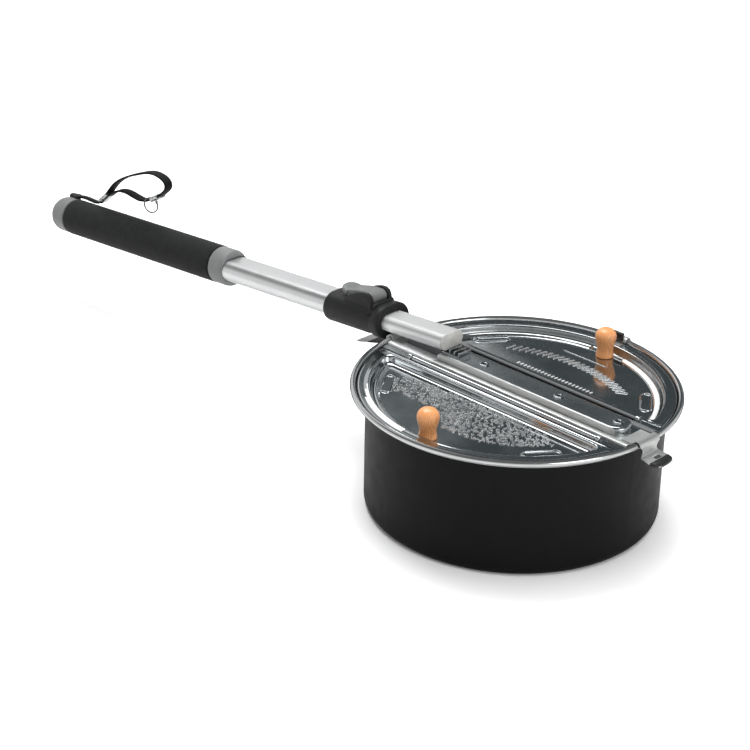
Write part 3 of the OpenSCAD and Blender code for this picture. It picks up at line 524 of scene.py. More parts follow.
strapSet = {
    "capEdge": -480.18, "surface": 13.95, "y": 8.0,
    "lead": [(-4, 2.8), (3, 3.8), (10, 4), (17, 3.4), (23, 3), (28, 3.6), (31.5, 5), (34.2, 7)],
    "leadWidth": 5.2, "leadThick": 2.2,
    "loop": [(44.7, 16.1), (53.7, 25), (60.7, 30.4), (67.7, 34.4), (75.2, 37.8), (83.2, 40.8), (93.2, 44),
             (103.2, 47), (111.2, 48.4), (118.2, 48.4), (125.2, 47), (130.7, 44), (132.2, 40), (129.7, 35.8),
             (124.2, 31.5), (118.2, 27.6), (111.2, 24.3), (102.2, 21), (92.2, 19.8), (83.2, 21.2),
             (74.2, 22.8), (64.2, 22.4), (54.2, 19), (46.1, 14.1)],
    "loopWidth": 9.0, "loopThick": 1.8,
    "ferrule": {"at": (39.7, 11), "turn": 36, "steps": [
        (-8, 8.6, 3.8), (-7.3, 10.4, 5), (-3.2, 10.4, 5), (-2.6, 9.5, 4.1), (-1.8, 9.5, 4.1), (-1.2, 10.4, 5),
        (1.2, 10.4, 5), (1.8, 9.5, 4.1), (2.6, 9.5, 4.1), (3.2, 10.4, 5), (7.3, 10.4, 5), (8, 8.6, 3.8)]},
    "crimp": {"at": (115.2, 26.2), "turn": 27, "eye": (-3.8, 3.9), "eyeR": 1.4,
              "eyeWire": (0.5, 0.6), "steps": [
        (-5.5, 9.8, 3.6), (-4.8, 11.4, 4.6), (-0.9, 11.4, 4.6), (-0.4, 10.6, 3.8), (0.4, 10.6, 3.8),
        (0.9, 11.4, 4.6), (4.8, 11.4, 4.6), (5.5, 9.8, 3.6)]},
    "ring": {"r": 6.9, "wire": 0.65, "turn": 20, "lean": 27},
    "knot": [((-11.4, 1.9), (4.4, 3.8, 2.9)), ((-4.4, 2.7), (4.2, 3.6, 2.7)),
             ((-8.0, 2.8), (5.6, 3.0, 2.2))],
    "uvStep": 0.01,
}


def strapPoint(p, s=strapSet):
    return Vector((s["capEdge"] + p[0], s["y"], s["surface"] + p[1]))


# flat band with rounded edges swept along a route; its UV runs across and along
def bandPiece(name, route, width, thick, material):
    line = smoothRoute([strapPoint(p) for p in route], 6)
    side = width / 2 - thick / 2
    outline = arc(side, 0, thick / 2, -90, 90, 6) + arc(-side, 0, thick / 2, 90, 270, 6)
    rings, along = [], [0.0]
    for i, p in enumerate(line):
        d = (line[min(i + 1, len(line) - 1)] - line[max(i - 1, 0)]).normalized()
        normal = Vector((-d.z, 0, d.x))
        rings.append(onHandle([p + Vector((0, y, 0)) + normal * t for y, t in outline]))
        if i:
            along.append(along[-1] + (p - line[i - 1]).length)
    points, faces = loft(rings)
    obj = addMesh(name, points, faces, material, sharp=60, recalc=False)
    layer = obj.data.uv_layers.new(name="UVMap")
    count = len(outline)
    for face in obj.data.polygons:
        for index in face.loop_indices:
            vertex = obj.data.loops[index].vertex_index
            across = outline[vertex % count][0] / width + 0.5
            layer.data[index].uv = (across, along[vertex // count] * strapSet["uvStep"])
    path = [q * mm for q in onHandle(line)]
    return obj, path, along[-1] * mm


# pressed metal sleeve on the strap, from (x, width, thickness) steps
def sleeveShape(s):
    place = Matrix.Translation(strapPoint(s["at"])) @ Matrix.Rotation(-math.radians(s["turn"]), 4, "Y")
    rings = [onHandle([place @ Vector((x, y, z)) for y, z in stadium(w, h, 10)])
             for x, w, h in s["steps"]]
    return place, loft(rings)


def crimpPiece(s):
    place, body = sleeveShape(s)
    x, drop = s["eye"]
    thick, wide = s["eyeWire"]
    eye = []
    for a in fullTurn(20):
        out = Vector((math.cos(a), 0, math.sin(a)))
        middle = Vector((x, 0, -drop)) + out * s["eyeR"]
        eye.append(onHandle([place @ (middle + out * thick * math.cos(b) + Vector((0, wide * math.sin(b), 0)))
                             for b in fullTurn(8)]))
    points, faces = joinShapes([body, loft(eye, loop=True)])
    return addMesh("ringCrimp", points, faces, finish["fittingSteel"])


# ring that hangs in the crimp's eye, turned a little towards the front
def ringPiece(s, crimpAt):
    place = sleeveShape(crimpAt)[0]
    eye = place @ Vector((crimpAt["eye"][0], 0, -crimpAt["eye"][1]))
    turn = math.radians(s["turn"])
    along, up = Vector((math.cos(turn), math.sin(turn), 0)), Vector((0, 0, 1))
    lean = math.radians(s["lean"])
    centre = eye - (along * math.cos(lean) + up * math.sin(lean)) * s["r"]
    rings = []
    for a in fullTurn(48):
        out = along * math.cos(a) + up * math.sin(a)
        rings.append(onHandle([centre + out * (s["r"] + s["wire"] * math.cos(b))
                               + along.cross(up) * s["wire"] * math.sin(b)
                               for b in fullTurn(10)]))
    return addMesh("splitRing", *loft(rings, loop=True), finish["shadeSteel"])


# rounded lump from a centre and three radii
def lump(centre, radii, rows=10, count=18):
    rings = []
    for a in np.linspace(-88, 88, rows):
        c, h = math.cos(math.radians(a)), math.sin(math.radians(a))
        rings.append([(centre[0] + radii[0] * c * math.cos(t), centre[1] + radii[1] * c * math.sin(t),
                       centre[2] + radii[2] * h) for t in fullTurn(count)])
    return loft(rings)


leadBand, leadPath, leadLength = bandPiece(
    "strapLead", strapSet["lead"], strapSet["leadWidth"], strapSet["leadThick"], finish["strapWebbing"])
loopBand, loopPath, loopLength = bandPiece(
    "strapLoop", strapSet["loop"], strapSet["loopWidth"], strapSet["loopThick"], finish["strapWebbing"])
ferrule = addMesh("strapFerrule", *sleeveShape(strapSet["ferrule"])[1], finish["fittingSteel"])
crimp = crimpPiece(strapSet["crimp"])
ring = ringPiece(strapSet["ring"], strapSet["crimp"])
knotShapes = [lump(strapPoint(at), radii) for at, radii in strapSet["knot"]]
knotPoints, knotFaces = joinShapes(knotShapes)
knot = addMesh("strapKnot", onHandle(knotPoints), knotFaces, finish["dipVinyl"], recalc=False)
setPiece(leadBand, "handle", "webbing", "strap_lead")
setPiece(loopBand, "handle", "webbing", "strap_loop")
setPiece(ferrule, "handle", "fittings", "strap_ferrule")
setPiece(crimp, "handle", "fittings", "ring_crimp")
setPiece(ring, "handle", "fittings", "split_ring")
setPiece(knot, "handle", "webbing")
print("strap made, lead", round(leadLength, 3), "loop", round(loopLength, 3))

# repeated details come from two Geometry Nodes trees


def newTree(name, sockets):
    tree = bpy.data.node_groups.new(name, "GeometryNodeTree")
    tree.interface.new_socket("Geometry", in_out="INPUT", socket_type="NodeSocketGeometry")
    for label, kind in sockets:
        tree.interface.new_socket(label, in_out="INPUT", socket_type="NodeSocket" + kind)
    tree.interface.new_socket("Geometry", in_out="OUTPUT", socket_type="NodeSocketGeometry")
    return tree, tree.nodes.new("NodeGroupInput"), tree.nodes.new("NodeGroupOutput")


# sets the piece on the points and closes the tree with real geometry in one finish
def endTree(tree, given, out, points, output):
    info = addNode(tree, "GeometryNodeObjectInfo", {"As Instance": True})
    place = addNode(tree, "GeometryNodeInstanceOnPoints")
    real = addNode(tree, "GeometryNodeRealizeInstances")
    paint = addNode(tree, "GeometryNodeSetMaterial")
    wire(tree, (given, "Piece", info, "Object"), (points, output, place, "Points"),
         (info, "Geometry", place, "Instance"), (place, "Instances", real, "Geometry"),
         (real, "Geometry", paint, "Geometry"), (given, "Finish", paint, "Material"),
         (paint, "Geometry", out, "Geometry"))
    return place


# one piece on every vertex, turned about Z by a named attribute
def makeRepeatTree():
    tree, given, out = newTree("repeatPiece", [("Piece", "Object"), ("Finish", "Material")])
    turn = addNode(tree, "GeometryNodeInputNamedAttribute", {"Name": "turn"}, data_type="FLOAT_VECTOR")
    place = endTree(tree, given, out, given, "Geometry")
    wire(tree, (turn, "Attribute", place, "Rotation"))
    return tree


# pieces strewn over a face with a least distance, each turned and sized at random
def makeStrewTree():
    tree, given, out = newTree("strewPiece", [
        ("Piece", "Object"), ("Finish", "Material"), ("Distance", "Float"), ("Density", "Float"),
        ("Small", "Float"), ("Large", "Float"), ("Seed", "Int")])
    strew = addNode(tree, "GeometryNodeDistributePointsOnFaces", distribute_method="POISSON")
    turn = addNode(tree, "FunctionNodeRandomValue", {1: (0, 0, 2 * math.pi)}, data_type="FLOAT_VECTOR")
    size = addNode(tree, "FunctionNodeRandomValue", data_type="FLOAT")
    place = endTree(tree, given, out, strew, "Points")
    wire(tree, (given, "Geometry", strew, "Mesh"), (given, "Distance", strew, "Distance Min"),
         (given, "Density", strew, "Density Max"), (given, "Seed", strew, "Seed"),
         (given, "Seed", turn, "Seed"), (given, "Seed", size, "Seed"), (given, "Small", size, 2),
         (given, "Large", size, 3), (turn, 0, place, "Rotation"), (size, 1, place, "Scale"))
    return tree


# runs a tree on a base object and keeps only the finished mesh
def runTree(base, tree, name, values):
    step = base.modifiers.new("build", "NODES")
    step.node_group = tree
    ids = {item.name: item.identifier for item in tree.interface.items_tree
           if item.item_type == "SOCKET" and item.in_out == "INPUT"}
    for label, value in values.items():
        step[ids[label]] = value
    base.update_tag()
    mesh = bpy.data.meshes.new_from_object(base.evaluated_get(bpy.context.evaluated_depsgraph_get()))
    mesh.name = name
    for spare in (base, values["Piece"]):
        bpy.data.objects.remove(spare)
    return intoScene(name, mesh)


def pointBase(places, turns=None):
    mesh = bpy.data.meshes.new("places")
    mesh.from_pydata([Vector(p) * mm for p in places], [], [])
    layer = mesh.attributes.new("turn", "FLOAT_VECTOR", "POINT")
    for i, item in enumerate(layer.data):
        item.vector = (0, 0, turns[i] if turns else 0)
    return intoScene("places", mesh)


repeatTree, strewTree = makeRepeatTree(), makeStrewTree()
print("geometry trees made")

# lid flaps: rim, dish, long curved beads, ovals and hinge edge

flapSet = {
    "lidR": 121.4, "lineY": 26.0, "dishR": 112.4, "dishY": 30.0, "floor": 93.0,
    "rim": [(121.4, 98.3), (121.4, 98.75), (121.05, 99.15), (120.3, 99.35), (119.2, 99.25), (117.6, 98.95),
            (115.6, 98.9), (114.2, 99.15), (113.2, 99.35), (112.5, 99.2), (111.9, 98.6), (111.5, 97.6),
            (111.1, 95.6), (110.8, 94.5), (110.2, 93.6), (109.3, 93.1), (108.4, 93.0)],
    "under": [(108.0, 92.0), (110.6, 92.0), (111.8, 92.5), (112.4, 93.6), (112.4, 97.4), (112.9, 98.2),
              (120.6, 98.2)],
    "corner": 5.0, "tightCorner": 1.5, "margin": 98.85, "fold": 1.2, "sheet": (98.25, 98.6),
    "bead": {"r": 107.4, "half": 3.6, "high": 2.0, "spans": [(21, 79.9), (95.9, 159)], "taper": 3.2},
    "oval": {"r": 98.5, "angles": (38, 142.5), "length": 29.0, "width": 8.0, "half": 1.0, "high": 1.05},
    "barrel": {"x0": -87.0, "x1": 97.0, "y": 23.0, "z": 99.9, "r": {"front": 2.1, "back": 1.45}, "edge": 0.3},
    "bump": [(-1.0, -0.06), (-0.86, 0.06), (-0.66, 0.32), (-0.42, 0.72), (-0.2, 0.95), (0, 1.0), (0.2, 0.95),
             (0.42, 0.72), (0.66, 0.32), (0.86, 0.06), (1.0, -0.06)],
}
# where the flaps are painted: the hinge seam and back barrel as painted shade, the back dish wall darker as
# painted shade, and painted highlight crescents; boxes as two corners, rings as radii, height and angles
flapPaint = {
    "seam": {"x": (-90, 100), "inset": (1.3, 1.1), "z": (98.55, 98.65)},
    "barrel": ((-90, 20, 98), (100, 24.8, 103)),
    "wall": (108.9, 112.6, 99.3),
    "highlightPaint": {"front": (112.9, 117.0, 98.5, 94, 136), "back": (104.6, 108.9, 93.6, 19, 81)},
    "thin": (122, 0.25),
}


# closed D-shaped loop: a straight side at y0, an arc of radius r and rounded corners
def dLoop(r, y0, corner, z, lineZ):
    cx, cy = math.sqrt((r - corner) ** 2 - (y0 + corner) ** 2), y0 + corner
    tip = math.degrees(math.atan2(cy, cx))
    line = [(x, y0, lineZ) for x in np.linspace(-cx, cx, 40)]
    loop = arc(cx, cy, corner, -90, tip, 9)[1:]
    loop += arc(0, 0, r, tip, 180 - tip, 120)[1:]
    loop += arc(-cx, cy, corner, 180 - tip, 270, 9)[1:-1]
    return line + [(x, y, z) for x, y in loop]


def flapLoop(r, z, s, side):
    lineZ = min(z, s["margin"]) if side == "back" else z
    if r > s["dishR"]:
        share = (s["lidR"] - r) / (s["lidR"] - s["dishR"])
        straight = s["lineY"] + share * (s["dishY"] - s["lineY"])
        corner = s["tightCorner"] + share * (s["corner"] - s["tightCorner"])
        return dLoop(r, straight, corner, z, lineZ)
    return dLoop(r, s["dishY"] + s["dishR"] - r, s["corner"], z, lineZ)


# raised bead along a flat line of points; tapers towards both ends unless it is closed
def beadShape(line, half, high, bump, floor, taper=0.0):
    rings, count, least = [], len(line), 0.0004
    closed = taper == 0
    length = [0.0]
    for i in range(1, count):
        length.append(length[-1] + (Vector(line[i]) - Vector(line[i - 1])).length)
    for i, p in enumerate(line):
        a = Vector(line[(i - 1) % count] if closed else line[max(i - 1, 0)])
        b = Vector(line[(i + 1) % count] if closed else line[min(i + 1, count - 1)])
        d = (b - a).normalized()
        near = min(length[i], length[-1] - length[i])
        full = 1.0 if closed or near > taper else math.sqrt(max(1 - (1 - near / taper) ** 2, least))
        wide, tall = half * full, high * full
        rings.append([(p[0] - d.y * wide * u, p[1] + d.x * wide * u, floor + tall * v) for u, v in bump])
    points = [p for ring in rings for p in ring]
    across = len(bump)
    faces = []
    for i in range(count if closed else count - 1):
        this, following = i * across, (i + 1) % count * across
        faces += [(this + k, following + k, following + k + 1, this + k + 1) for k in range(across - 1)]
    return points, faces


def flapShapes(s, side):
    rings = [flapLoop(r, z, s, side) for r, z in s["under"] + s["rim"]]
    shapes = [loft(rings)]
    bead, oval = s["bead"], s["oval"]
    for a0, a1 in bead["spans"]:
        line = arc(0, 0, bead["r"], a1, a0, 70)
        shapes.append(beadShape(line, bead["half"], bead["high"], s["bump"], s["floor"], bead["taper"]))
    for angle in oval["angles"]:
        a = math.radians(angle)
        ring = [(oval["r"] * math.cos(a) - u * math.sin(a) + v * math.cos(a),
                 oval["r"] * math.sin(a) + u * math.cos(a) + v * math.sin(a))
                for u, v in stadium(oval["length"], oval["width"], 20)]
        shapes.append(beadShape(ring[::-1], oval["half"], oval["high"], s["bump"], s["floor"]))
    return shapes


# rolled hinge edge: a barrel and the sheet that runs into it
def barrelShapes(s, side):
    b = s["barrel"]
    ends, edge = (b["x0"], b["x1"]), b["edge"]
    tube = []
    for x in (b["x0"], b["x0"] + edge, b["x1"] - edge, b["x1"]):
        r = b["r"][side] - (edge if x in ends else 0)
        tube.append([(x, b["y"] + r * math.cos(t), b["z"] + r * math.sin(t)) for t in fullTurn(24)])
    y0, y1 = b["y"] + s["fold"], s["lineY"] + s["fold"]
    z0, z1 = s["sheet"]
    sheet = [[(x, y0, z0), (x, y1, z0), (x, y1, z1), (x, y0, z1)] for x in ends]
    return [loft(tube), loft(sheet)]


# gives the faces whose centres pass a test a second finish
def paintFaces(obj, material, test):
    obj.data.materials.append(material)
    for face in obj.data.polygons:
        if test(face.center / mm):
            face.material_index = len(obj.data.materials) - 1


def paintBox(obj, material, low, high):
    paintFaces(obj, material, lambda p: all(low[i] <= p[i] <= high[i] for i in range(3)))


# rolled bead of the pan's rim
rimSet = {
    "bead": (124.7, 99.3), "r": 2.3, "turns": 256, "sides": 36,
    "skirt": [(122.4, 96.4), (124.7, 96.4), (124.7, 98.6), (122.4, 98.6)],
}


def rimPiece(s):
    def turned(section):
        return loft([[(r * math.cos(t), r * math.sin(t), z) for r, z in section]
                     for t in fullTurn(s["turns"])], loop=True)

    x, z = s["bead"]
    bead = [(x + s["r"] * math.cos(t), z + s["r"] * math.sin(t)) for t in fullTurn(s["sides"])]
    return addMesh("rimBead", *joinShapes([turned(bead), turned(s["skirt"])]), finish["rimSteel"])


setPiece(rimPiece(rimSet), "pan", "rim_steel", "pan_rim")


def paintFlap(obj, side, sign, s):
    seam = s["seam"]
    inner, outer = flapSet["barrel"]["y"] + seam["inset"][0], flapSet["lineY"] + seam["inset"][1]
    y0, y1 = sorted((sign * inner, sign * outer))
    low, high = zip(seam["x"], (y0, y1), seam["z"])
    # the hinge seam is painted shade: near black at the front, dull grey at the back
    paintBox(obj, finish["seamShade" if side == "front" else "hingePaintedShade"], low, high)
    if side == "back":
        w0, w1, top = s["wall"]
        # the back barrel is painted dull grey, as painted shade
        paintBox(obj, finish["hingePaintedShade"], *s["barrel"])
        # the back dish wall is painted darker steel, as painted shade
        paintFaces(obj, finish["wallPaintedShade"], lambda p: w0 < math.hypot(p.x, p.y) < w1 and p.z < top)
    # painted highlight crescents on the front lip and the back bead, narrowing past thinFrom degrees
    r0, r1, level, a0, a1 = s["highlightPaint"][side]
    thinFrom, slope = s["thin"]

    def paintedHighlightAt(p):
        angle = math.degrees(math.atan2(abs(p.y), p.x))
        reach = r1 - slope * max(angle - thinFrom, 0)
        return a0 < angle < a1 and r0 < math.hypot(p.x, p.y) < reach and p.z > level

    paintFaces(obj, finish["paintedHighlightSteel"], paintedHighlightAt)


def flapPiece(side, sign):
    points, faces = joinShapes(flapShapes(flapSet, side) + barrelShapes(flapSet, side))
    if sign < 0:
        points = [(p[0], -p[1], p[2]) for p in points]
        faces = [face[::-1] for face in faces]
    obj = addMesh(side + "Flap", points, faces, finish["lidSteel"], sharp=40, recalc=False)
    paintFlap(obj, side, sign, flapPaint)
    return setPiece(obj, side + "_flap", "lid_steel", side + "_flap")


for sign, side in ((-1, "front"), (1, "back")):
    flapPiece(side, sign)
print("flaps made")

# pebbled panel on the front flap, and raised strokes on the back one

pebbleSet = {
    "field": [(-86, -46), (-68, -38.5), (-44, -35.5), (3, -34.5), (32, -34.5), (63, -35),
              (76, -43), (68, -52), (54, -67), (33, -78), (16, -82), (0, -84), (-8, -74),
              (-23, -62), (-44, -64), (-66, -65)],
    "lobes": [((0, 0), (1.35, 0.6)), ((1.3, 0.75), (1.0, 0.55)), ((-1.25, -0.7), (1.0, 0.55)),
              ((0.4, -1.2), (0.5, 0.85))],
    "high": 0.8, "distance": 0.0023, "density": 260000, "small": 0.7, "large": 1.05, "seed": 7,
}


def pebblePiece(s):
    shapes = [lump((x, y, 0), (a, b, s["high"]), 7, 12) for (x, y), (a, b) in s["lobes"]]
    grainShape = addMesh("pebble", *joinShapes(shapes), finish["embossSteel"], recalc=False)
    floor = flapSet["floor"]
    outline = [Vector((x, y, floor)) * mm for x, y in s["field"]][::-1]
    mesh = bpy.data.meshes.new("pebbleField")
    mesh.from_pydata(outline, [], [tuple(range(len(outline)))])
    if mesh.polygons[0].normal.z < 0:
        mesh.flip_normals()
    return runTree(intoScene("pebbleField", mesh), strewTree, "pebblePanel", {
        "Piece": grainShape, "Finish": finish["embossSteel"], "Distance": s["distance"],
        "Density": s["density"], "Small": s["small"], "Large": s["large"], "Seed": s["seed"]})


setPiece(pebblePiece(pebbleSet), "front_flap", "lid_steel")

ropeSet = {
    "rope": {"half": 1.0, "high": 0.9, "length": 10.5, "slant": 58, "step": 4.9, "count": 24,
             "x0": -58, "y": 60, "rise": 14, "finish": "strokeSteel"},
    "inner": {"half": 0.5, "high": 0.6, "length": 3.4, "slant": 72, "step": 3.5, "count": 22,
              "x0": -35, "y": 43, "rise": 0, "finish": "paleSteelAndPaintedLight"},
    "outer": {"half": 0.6, "high": 0.5, "length": 44, "slant": 0, "step": 0, "count": 1,
              "x0": -4, "y": 86.5, "rise": 0, "finish": "strokeSteel"},
}


# straight raised strokes set out along a shallow arch
def strokeRow(name, s):
    a = math.radians(s["slant"])
    reach = np.linspace(-s["length"] / 2, s["length"] / 2, 30)
    line = [(t * math.cos(a), t * math.sin(a)) for t in reach]
    taper, material = s["half"] * 1.4, finish[s["finish"]]
    stroke = beadShape(line, s["half"], s["high"], flapSet["bump"], 0, taper)
    shape = addMesh("stroke", *stroke, material, recalc=False)
    spots, turned = [], []
    gaps = max(s["count"] - 1, 1)
    for k in range(s["count"]):
        share = 2 * k / gaps - 1
        arch = s["y"] + s["rise"] * (1 - share * share)
        spots.append((s["x0"] + k * s["step"], arch, flapSet["floor"]))
        turned.append(math.atan2(-4 * s["rise"] * share, gaps * s["step"]))
    return runTree(pointBase(spots, turned), repeatTree, name, {"Piece": shape, "Finish": material})


for label, item in ropeSet.items():
    setPiece(strokeRow(label + "Strokes", item), "back_flap", "lid_steel")
print("embossing made")

# knobs, turned in wood

knobSet = {
    "x": 3.8, "y": 102.0, "floor": 93.0,
    "profile": [(0, 0), (6.5, 0), (7.15, 0.4), (7.25, 1.2), (7.0, 2.4), (6.65, 4.0), (6.45, 6.0), (6.6, 8.0),
                (7.1, 10.4), (7.8, 12.8), (8.35, 15.0), (8.6, 17.2), (8.35, 19.3), (7.4, 21.4), (5.7, 23.1),
                (3.3, 24.2), (0, 24.5)],
}
for sign, side in ((-1, "front"), (1, "back")):
    foot = (knobSet["x"], sign * knobSet["y"], knobSet["floor"])
    knob = addMesh(side + "Knob", *lathe(knobSet["profile"], 48, foot), finish["turnedWood"])
    shape = knob.modifiers.new("soften", "SUBSURF")
    shape.levels = shape.render_levels = 1
    setPiece(knob, side + "_flap", "knob_wood", side + "_knob")
print("knobs made")


# rounds the sharp edges of a closed shape
def bevelled(shape, width, segments=3, limit=28):
    work = bmesh.new()
    verts = [work.verts.new(Vector(p)) for p in shape[0]]
    for face in shape[1]:
        work.faces.new([verts[i] for i in face])
    bmesh.ops.recalc_face_normals(work, faces=work.faces)
    edges = [e for e in work.edges if e.is_manifold and math.degrees(e.calc_face_angle(0)) > limit]
    bmesh.ops.bevel(work, geom=edges, offset=width, segments=segments, profile=0.5, affect="EDGES",
                    clamp_overlap=True)
    work.verts.index_update()
    points = [tuple(v.co) for v in work.verts]
    faces = [tuple(v.index for v in f.verts) for f in work.faces]
    work.free()
    return points, faces


# outline in (x, height) as a slab between two places across the handle
def slab(outline, y0, y1):
    return loft([[(x, y, z) for x, z in outline] for y in (y0, y1)])


# bridge: a strip with ribs and grooves, and the eyes that hold the hinge pins

bridgeSet = {
    "r": 121.4, "low": 98.3, "split": -72.5, "x0": -87.6, "x1": 97.6,
    "halfProfile": [(0, 99.5), (11.6, 99.5), (11.65, 98.7), (12.4, 98.7), (12.5, 99.9), (12.9, 100.5),
                    (13.8, 100.8), (16.2, 100.8), (17.0, 100.5), (17.35, 99.9), (17.45, 98.7), (18.9, 98.7),
                    (19.0, 99.3), (19.3, 99.5), (19.8, 99.4)],
    "wing": [(19.8, 99.4), (24.7, 99.4), (25.0, 99.1)],
    "hinge": (23.0, 100.0), "eye": 3.4, "eyeR": (1.28, 2.6), "eyeEdge": 0.3,
    # painted light and shade on the strip: paler under the tube and on the front half, near black in the
    # front grooves, dull grey along the back
    "paint": [("paleSteelAndPaintedLight", (-130, -18, 98.75), (-72.5, 12, 102)),
              ("springSteelAndPaintedLight", (-72.5, -18, 98.75), (130, 0, 102)),
              ("seamShade", (-130, -19.1, 98.5), (130, 0, 98.75)),
              ("hingePaintedShade", (-130, 11, 98.5), (130, 20, 102))],
}


# strip along X whose top follows (y, z) points and whose ends lie on the lid's edge or at given places
def stripAcross(profile, low, ends):
    points, faces = [], []
    for y, z in profile:
        left, right = ends(y)
        points += [(left, y, z), (right, y, z), (right, y, low), (left, y, low)]
    for i in range(len(profile) - 1):
        a, b = 4 * i, 4 * i + 4
        faces += [(a + k, a + (k + 1) % 4, b + (k + 1) % 4, b + k) for k in range(4)]
    last = 4 * len(profile) - 4
    return points, faces + [(3, 2, 1, 0), (last, last + 1, last + 2, last + 3)]


def bridgePiece(s):
    half = s["halfProfile"]
    whole = [(-y, z) for y, z in reversed(half[1:])] + half

    def edge(y):
        return math.sqrt(s["r"] ** 2 - y * y)

    shapes = [stripAcross(whole, s["low"], lambda y: (-edge(y), s["split"]))]
    shapes.append(stripAcross(whole, s["low"], lambda y: (s["split"], edge(y))))
    (inner, outer), eye, soft = s["eyeR"], s["eye"], s["eyeEdge"]
    section = [(0, inner), (0, outer - soft), (soft, outer), (eye - soft, outer), (eye, outer - soft),
               (eye, inner)]
    hingeY, hingeZ = s["hinge"]
    for sign in (-1, 1):
        wing = sorted([(sign * y, z) for y, z in s["wing"]])
        shapes.append(stripAcross(wing, s["low"], lambda y: (-edge(y), s["x0"])))
        shapes.append(stripAcross(wing, s["low"], lambda y: (s["x1"], edge(y))))
        for x in (s["x0"] - eye, s["x1"]):
            rings = [[(x + a, sign * hingeY + r * math.cos(t), hingeZ + r * math.sin(t))
                      for t in fullTurn(24)] for a, r in section]
            shapes.append(loft(rings, loop=True))
    obj = addMesh("bridgeStrip", *joinShapes(shapes), finish["lidSteel"])
    for label, low, high in s["paint"]:
        paintBox(obj, finish[label], low, high)
    return obj


setPiece(bridgePiece(bridgeSet), "lid", "lid_steel", "bridge")
print("bridge made")

# bar along the bridge with its tubular rivets

barSet = {"x0": -72.3, "x1": 108.0, "w": 23.0, "z0": 99.5, "z1": 105.7, "round": 2.6, "paintedLightSide": 9.68}
rivetSet = {
    "x": (98.5, 41.5, -33.5), "hole": (1.53, -2, 0.62),
    "profile": [(0, -0.3), (4.0, -0.3), (4.0, 0.35), (3.8, 0.75), (3.3, 1.05), (2.6, 1.1), (1.9, 0.85),
                (1.55, 0.3), (1.5, -1.6), (0, -1.6)],
}


def barPiece(s):
    def outline(inset, z):
        r = s["w"] / 2 - inset
        nose = arc(s["x1"] - s["w"] / 2, 0, r, -90, 90, 32)
        return [(x, y, z) for x, y in nose + [(s["x0"] + inset, r), (s["x0"] + inset, -r)]]

    rings = [outline(0, s["z0"])]
    rings += [outline(b, s["z1"] - a) for a, b in reversed(roundEdge(s["round"], 7))]
    obj = addMesh("spineBar", *loft(rings), finish["barSteel"], sharp=50)
    # the bar's front face is painted paler steel, as painted light
    paintFaces(obj, finish["springSteelAndPaintedLight"], lambda p: p.y <= -s["paintedLightSide"] and s["z0"] <= p.z <= s["z1"])
    return obj


setPiece(barPiece(barSet), "lid", "bar_steel", "spine_bar")
rivetHead = addMesh("rivetHead", *lathe(rivetSet["profile"], 32), finish["barSteel"])
rivetPlaces = [(x, 0, barSet["z1"]) for x in rivetSet["x"]]
rivets = runTree(pointBase(rivetPlaces), repeatTree, "barRivets",
                 {"Piece": rivetHead, "Finish": finish["barSteel"]})
holeR, holeLow, holeHigh = rivetSet["hole"]
paintFaces(rivets, finish["seamShade"],
           lambda p: abs(p.y) <= holeR and holeLow <= p.z - barSet["z1"] <= holeHigh)
setPiece(rivets, "lid", "fittings", "bar_rivets")

catchSet = {
    "x0": -71.3, "x1": -53.7, "half": 7.0, "floor": 105.7, "sheet": 1.0,
    "lips": (-64.2, -59.5, -54.8), "lip": 1.1, "low": 0.4, "high": 4.3, "soft": 0.35, "shadeBand": 0.02,
}


# folded catch in front of the tube: a floor and three upright lips
def catchPiece(s):
    def box(x0, x1, z0, z1, half):
        return loft([[(x0, -half, z), (x1, -half, z), (x1, half, z), (x0, half, z)] for z in (z0, z1)])

    floor, half = s["floor"], s["half"]
    shapes = [box(s["x0"], s["x1"], floor, floor + s["sheet"], half)]
    for x in s["lips"]:
        shapes.append(bevelled(box(x, x + s["lip"], floor + s["low"], floor + s["high"], half), s["soft"], 2))
    obj = addMesh("tubeCatch", *joinShapes(shapes), finish["lidSteel"], sharp=50)
    level, band = floor + s["sheet"], s["shadeBand"]
    paintBox(obj, finish["seamShade"], (s["x0"], -half - 1, level - band), (s["x1"], half + 1, level + band))
    return obj


setPiece(catchPiece(catchSet), "lid", "spring_steel", "tube_catch")
print("bar made")

# clips: bent strips, drawn as middle lines in (distance, height) with half widths


# strip of sheet along a bent middle line; left and right are its edges in the third direction
def stripShape(line, left, right, thick):
    rings, chamfer = [], thick * 0.25
    for i, p in enumerate(line):
        a, b = Vector(line[max(i - 1, 0)]), Vector(line[min(i + 1, len(line) - 1)])
        d = (b - a).normalized()
        n = Vector((-d.y, d.x)) * (thick / 2)
        k = 1 - chamfer / (thick / 2)
        lo, hi = left[i], right[i]
        section = [(lo + chamfer, -1), (hi - chamfer, -1), (hi, -k), (hi, k),
                   (hi - chamfer, 1), (lo + chamfer, 1), (lo, k), (lo, -k)]
        rings.append([(p[0] + n.x * t, w, p[1] + n.y * t) for w, t in section])
    return loft(rings)


clipSet = {"bead": (124.7, 99.3), "r": 3.5, "bend": 1.6, "thick": 0.9, "half": 11.0, "bridgeTop": 99.5}
farSet = {
    "leg": 9.0, "lip": 16.0, "fall": 8.0, "waist": 3.0, "flare": (2, 0.35, 0.06), "tip": 7.0,
    "slot": (3.6, 8.0, -1.5, 5.5), "taper": 3.0,
    "dip": {"inset": 0.7, "nose": 0.6, "noseDepth": 5.0, "noseShape": 0.7,
            "levels": ((-1.65, 1.1), (-1.4, 0.5), (-0.8, 0), (0.8, 0), (1.4, 0.5), (1.65, 1.1))},
}
nearSet = {"leg": 5.4, "lip": 37.0, "fall": 16.0, "root": 10.0, "corner": 1.9, "dark": (-149.0, 93.6)}


